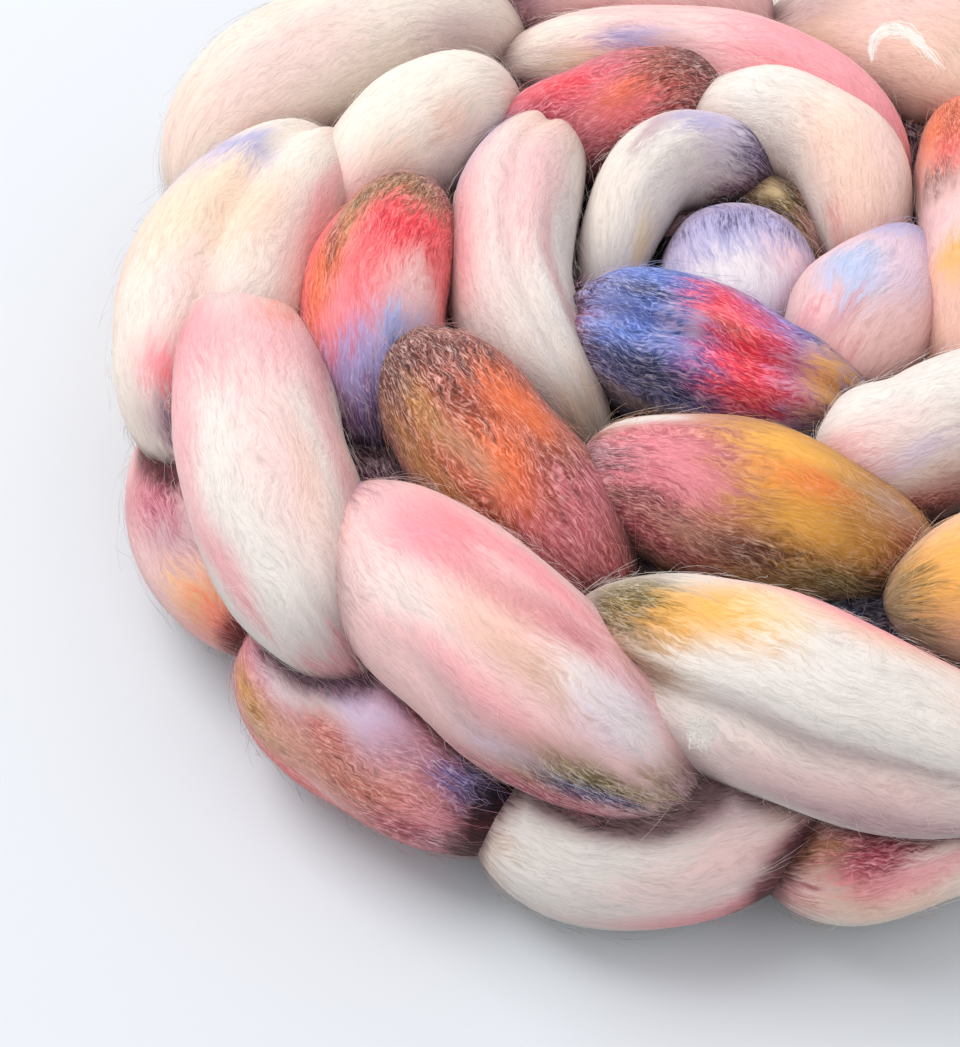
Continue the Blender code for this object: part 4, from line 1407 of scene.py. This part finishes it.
def add_wisp(name, paths, colour, ranges, dice):
    """One piece from paths whose fibres all face up, each with its own lightness and width."""
    colours = colour * dice.uniform(*ranges.tone, (len(paths), 1, 1))
    colours = np.broadcast_to(colours, paths.shape)
    widths = dice.uniform(*ranges.width, len(paths)) * MM
    add_fibres(name, [(paths, widths, colours, np.broadcast_to(WISP_FACING, paths.shape))])


def cover_with_fibres(pieces, maker, density, seed):
    """Each piece's fibres, made by the maker on every lobe that the piece names."""
    lobes = all_lobes()
    balls = core_balls(lobes)
    for number, (name, shares) in enumerate(pieces.items()):
        dice = np.random.default_rng(seed + number)
        add_fibres(name, [
            maker(lobe, density * share, dice, balls)
            for start, share in shares.items()
            for lobe in lobes
            if lobe.name.startswith(start)
        ])


class ROVING_OT_combed_fibres(bpy.types.Operator):
    """Adds the combed fibres that lie on the loops"""

    bl_idname = "roving.combed_fibres"
    bl_label = "Combed fibres"

    def execute(self, context):
        density = context.scene.roving_sizes.combed_count
        cover_with_fibres(COMBED_PIECES, combed_fibres, density, COMBED_SEED)
        return {"FINISHED"}


class ROVING_OT_frizz(bpy.types.Operator):
    """Adds the crimped stray fibres that stand off the loops"""

    bl_idname = "roving.frizz"
    bl_label = "Frizz"

    def execute(self, context):
        density = context.scene.roving_sizes.frizz_count
        cover_with_fibres(FRIZZ_PIECES, frizzy_fibres, density, FRIZZ_SEED)
        return {"FINISHED"}


def smooth_line(knots, shares):
    """Points of a smooth curve through knots.

    Between two knots it is the cubic that at each heads from the knot before it to the one after.
    """
    knots = np.asarray(knots, float)
    whole = np.concatenate([2 * knots[:1] - knots[1:2], knots, 2 * knots[-1:] - knots[-2:-1]])
    place = np.clip(shares, 0, 1) * (len(knots) - 1)
    left = np.minimum(place.astype(int), len(knots) - 2)
    t = (place - left)[..., None]
    before, start, end, after = (whole[left + shift] for shift in range(4))
    return 0.5 * (
        2 * start + (end - before) * t + (2 * before - 5 * start + 4 * end - after) * t**2
        + (3 * start - before - 3 * end + after) * t**3
    )


class ROVING_OT_curl(bpy.types.Operator):
    """Adds the thin wisp that curls over the loose end"""

    bl_idname = "roving.curl"
    bl_label = "Curl"

    fibres: IntProperty(name="Fibres", description="Fibres in the wisp", default=90, min=3)
    thickness: FloatProperty(
        name="Thickness", description="How thick the wisp is", default=1.9 * MM, min=0.1 * MM,
        unit="LENGTH",
    )

    def execute(self, context):
        """Each fibre winds slowly round the curl's line, at its own share of the thickness.

        It starts and ends at shares of its own, and swings out where the wisp frays.
        """
        dice = np.random.default_rng(CURL_SEED)
        count, each = (self.fibres, 1), (self.fibres, 1, 1)
        step = np.linspace(0, 1, CURL.stations)
        start, reach = dice.uniform(*CURL.start, count), dice.uniform(*CURL.reach, count)
        share = start + reach * step
        line = smooth_line(polar(*np.array(CURL_PATH, float).T), share)
        ahead = unit(np.gradient(line, axis=1))
        side = unit(np.cross(ahead, np.array(CURL.across)))
        other = np.cross(ahead, side)
        frayed = 1 + CURL.fray * dice.uniform(0, 1, count) ** CURL.fray_rarity
        radius = self.thickness / 2 * dice.uniform(0, 1, count) ** CURL.crowding * frayed
        radius = radius * (CURL.least + (1 - CURL.least) * np.sin(math.pi * share))
        radius = radius + CURL.wobble * MM * np.sin(CURL.wobbles * share * TURN)
        turn = dice.uniform(0, TURN, count) + TURN * CURL.winding * share
        cos, sin = np.cos(turn)[..., None], np.sin(turn)[..., None]
        paths = line + radius[..., None] * (cos * side + sin * other)
        mix = dice.uniform(0, 1, each)
        colour = np.array(context.scene.roving_dyes.cream) * mix + np.array(UNDYED) * (1 - mix)
        add_wisp("curl", paths, colour, CURL, dice)
        return {"FINISHED"}


class ROVING_OT_tuft(bpy.types.Operator):
    """Adds the tuft of white fluff that sits in a crevice of the rim"""

    bl_idname = "roving.tuft"
    bl_label = "Tuft"

    fibres: IntProperty(name="Fibres", description="Fibres in the tuft", default=150, min=3)
    radius: FloatProperty(
        name="Radius", description="How far the tuft reaches", default=2.4 * MM, min=0.1 * MM,
        unit="LENGTH",
    )

    def execute(self, context):
        """Each fibre is a curl: three sines of its own along the three axes, round the middle."""
        dice = np.random.default_rng(TUFT_SEED)
        lobe_name, share, degrees, lift = TUFT_PLACE
        lobe = lobes_named((lobe_name,))[0]
        middle = lobe.skin(np.array(share), np.array(math.radians(degrees)), lift * MM)[0]
        step, count = np.linspace(0, 1, TUFT.stations)[:, None], (self.fibres, 1, 3)
        turns, start = dice.uniform(*TUFT.turns, count), dice.uniform(0, 1, count)
        size = self.radius * dice.uniform(*TUFT.size, count)
        drift = self.radius * dice.normal(0, TUFT.drift, count)
        paths = middle + drift + size * np.sin(TURN * (turns * step + start)) * TUFT.flatness
        add_wisp("tuft", paths, np.array(context.scene.roving_dyes.ivory), TUFT, dice)
        return {"FINISHED"}


def aimed(name, data, place, direction):
    """Adds a lamp or a camera that stands at a place, in metres, and looks in a direction."""
    made = bpy.data.objects.new(name, data)
    made.location = place
    made.rotation_mode = "QUATERNION"
    made.rotation_quaternion = Vector(direction).to_track_quat("-Z", "Y")
    bpy.context.scene.collection.objects.link(made)
    return made


class ROVING_OT_stage(bpy.types.Operator):
    """Adds the pale surface, the soft light and the camera"""

    bl_idname = "roving.stage"
    bl_label = "Stage"

    def execute(self, context):
        scene = context.scene
        signs = ((-1, -1), (1, -1), (1, 1), (-1, 1))
        corners = [(x * FLOOR_HALF, y * FLOOR_HALF, 0) for x, y in signs]
        mesh = bpy.data.meshes.new("floor")
        mesh.from_pydata(corners, [], [(0, 1, 2, 3)])
        mesh.materials.append(paper())
        floor = bpy.data.objects.new("floor", mesh)
        scene.collection.objects.link(floor)
        world = bpy.data.worlds.new("soft sky")
        world.use_nodes = True
        background = world.node_tree.nodes["Background"]
        background.inputs["Color"].default_value = (*SKY_COLOUR, 1)
        background.inputs["Strength"].default_value = SKY_STRENGTH
        scene.world = world
        window = bpy.data.lights.new("window", "AREA")
        window.size, window.energy = WINDOW_SIZE, WINDOW_WATTS
        aimed("window", window, WINDOW_PLACE, np.array(LOOK_AT) * MM - np.array(WINDOW_PLACE))
        view = bpy.data.cameras.new("camera")
        view.lens, view.sensor_width, view.clip_start = CAMERA_LENS, CAMERA_SENSOR, CAMERA_NEAR
        rise = math.radians(CAMERA_RISE)
        back = np.array((0, -math.cos(rise), math.sin(rise)))
        place = (np.array(LOOK_AT) + back * CAMERA_AWAY) * MM
        scene.camera = aimed("camera", view, place, -back)
        scene.view_settings.view_transform = "Standard"
        return {"FINISHED"}


class ROVING_PT_panel(bpy.types.Panel):
    bl_label = "Wool roving coil"
    bl_idname = "ROVING_PT_panel"
    bl_space_type = "VIEW_3D"
    bl_region_type = "UI"
    bl_category = "Roving"

    def draw(self, context):
        for operator in OPERATORS:
            self.layout.operator(operator.bl_idname)
        for group in (context.scene.roving_sizes, context.scene.roving_dyes):
            box = self.layout.box()
            for name in group.__annotations__:
                box.prop(group, name)


OPERATORS = (
    ROVING_OT_outer_loops, ROVING_OT_inner_loops, ROVING_OT_heart_loops, ROVING_OT_lower_loops,
    ROVING_OT_packing, ROVING_OT_combed_fibres, ROVING_OT_frizz, ROVING_OT_curl, ROVING_OT_tuft,
    ROVING_OT_stage,
)
CLASSES = (RovingDyes, RovingSizes, *OPERATORS, ROVING_PT_panel)


def register():
    for each in CLASSES:
        bpy.utils.register_class(each)
    bpy.types.Scene.roving_dyes = PointerProperty(type=RovingDyes)
    bpy.types.Scene.roving_sizes = PointerProperty(type=RovingSizes)


def unregister():
    del bpy.types.Scene.roving_sizes
    del bpy.types.Scene.roving_dyes
    for each in reversed(CLASSES):
        bpy.utils.unregister_class(each)


def main():
    register()
    bpy.ops.roving.stage()
    bpy.ops.roving.outer_loops()
    bpy.ops.roving.inner_loops()
    bpy.ops.roving.heart_loops()
    bpy.ops.roving.lower_loops()
    bpy.ops.roving.packing()
    bpy.ops.roving.combed_fibres()
    bpy.ops.roving.frizz()
    bpy.ops.roving.curl()
    bpy.ops.roving.tuft()


if __name__ == "__main__":
    main()
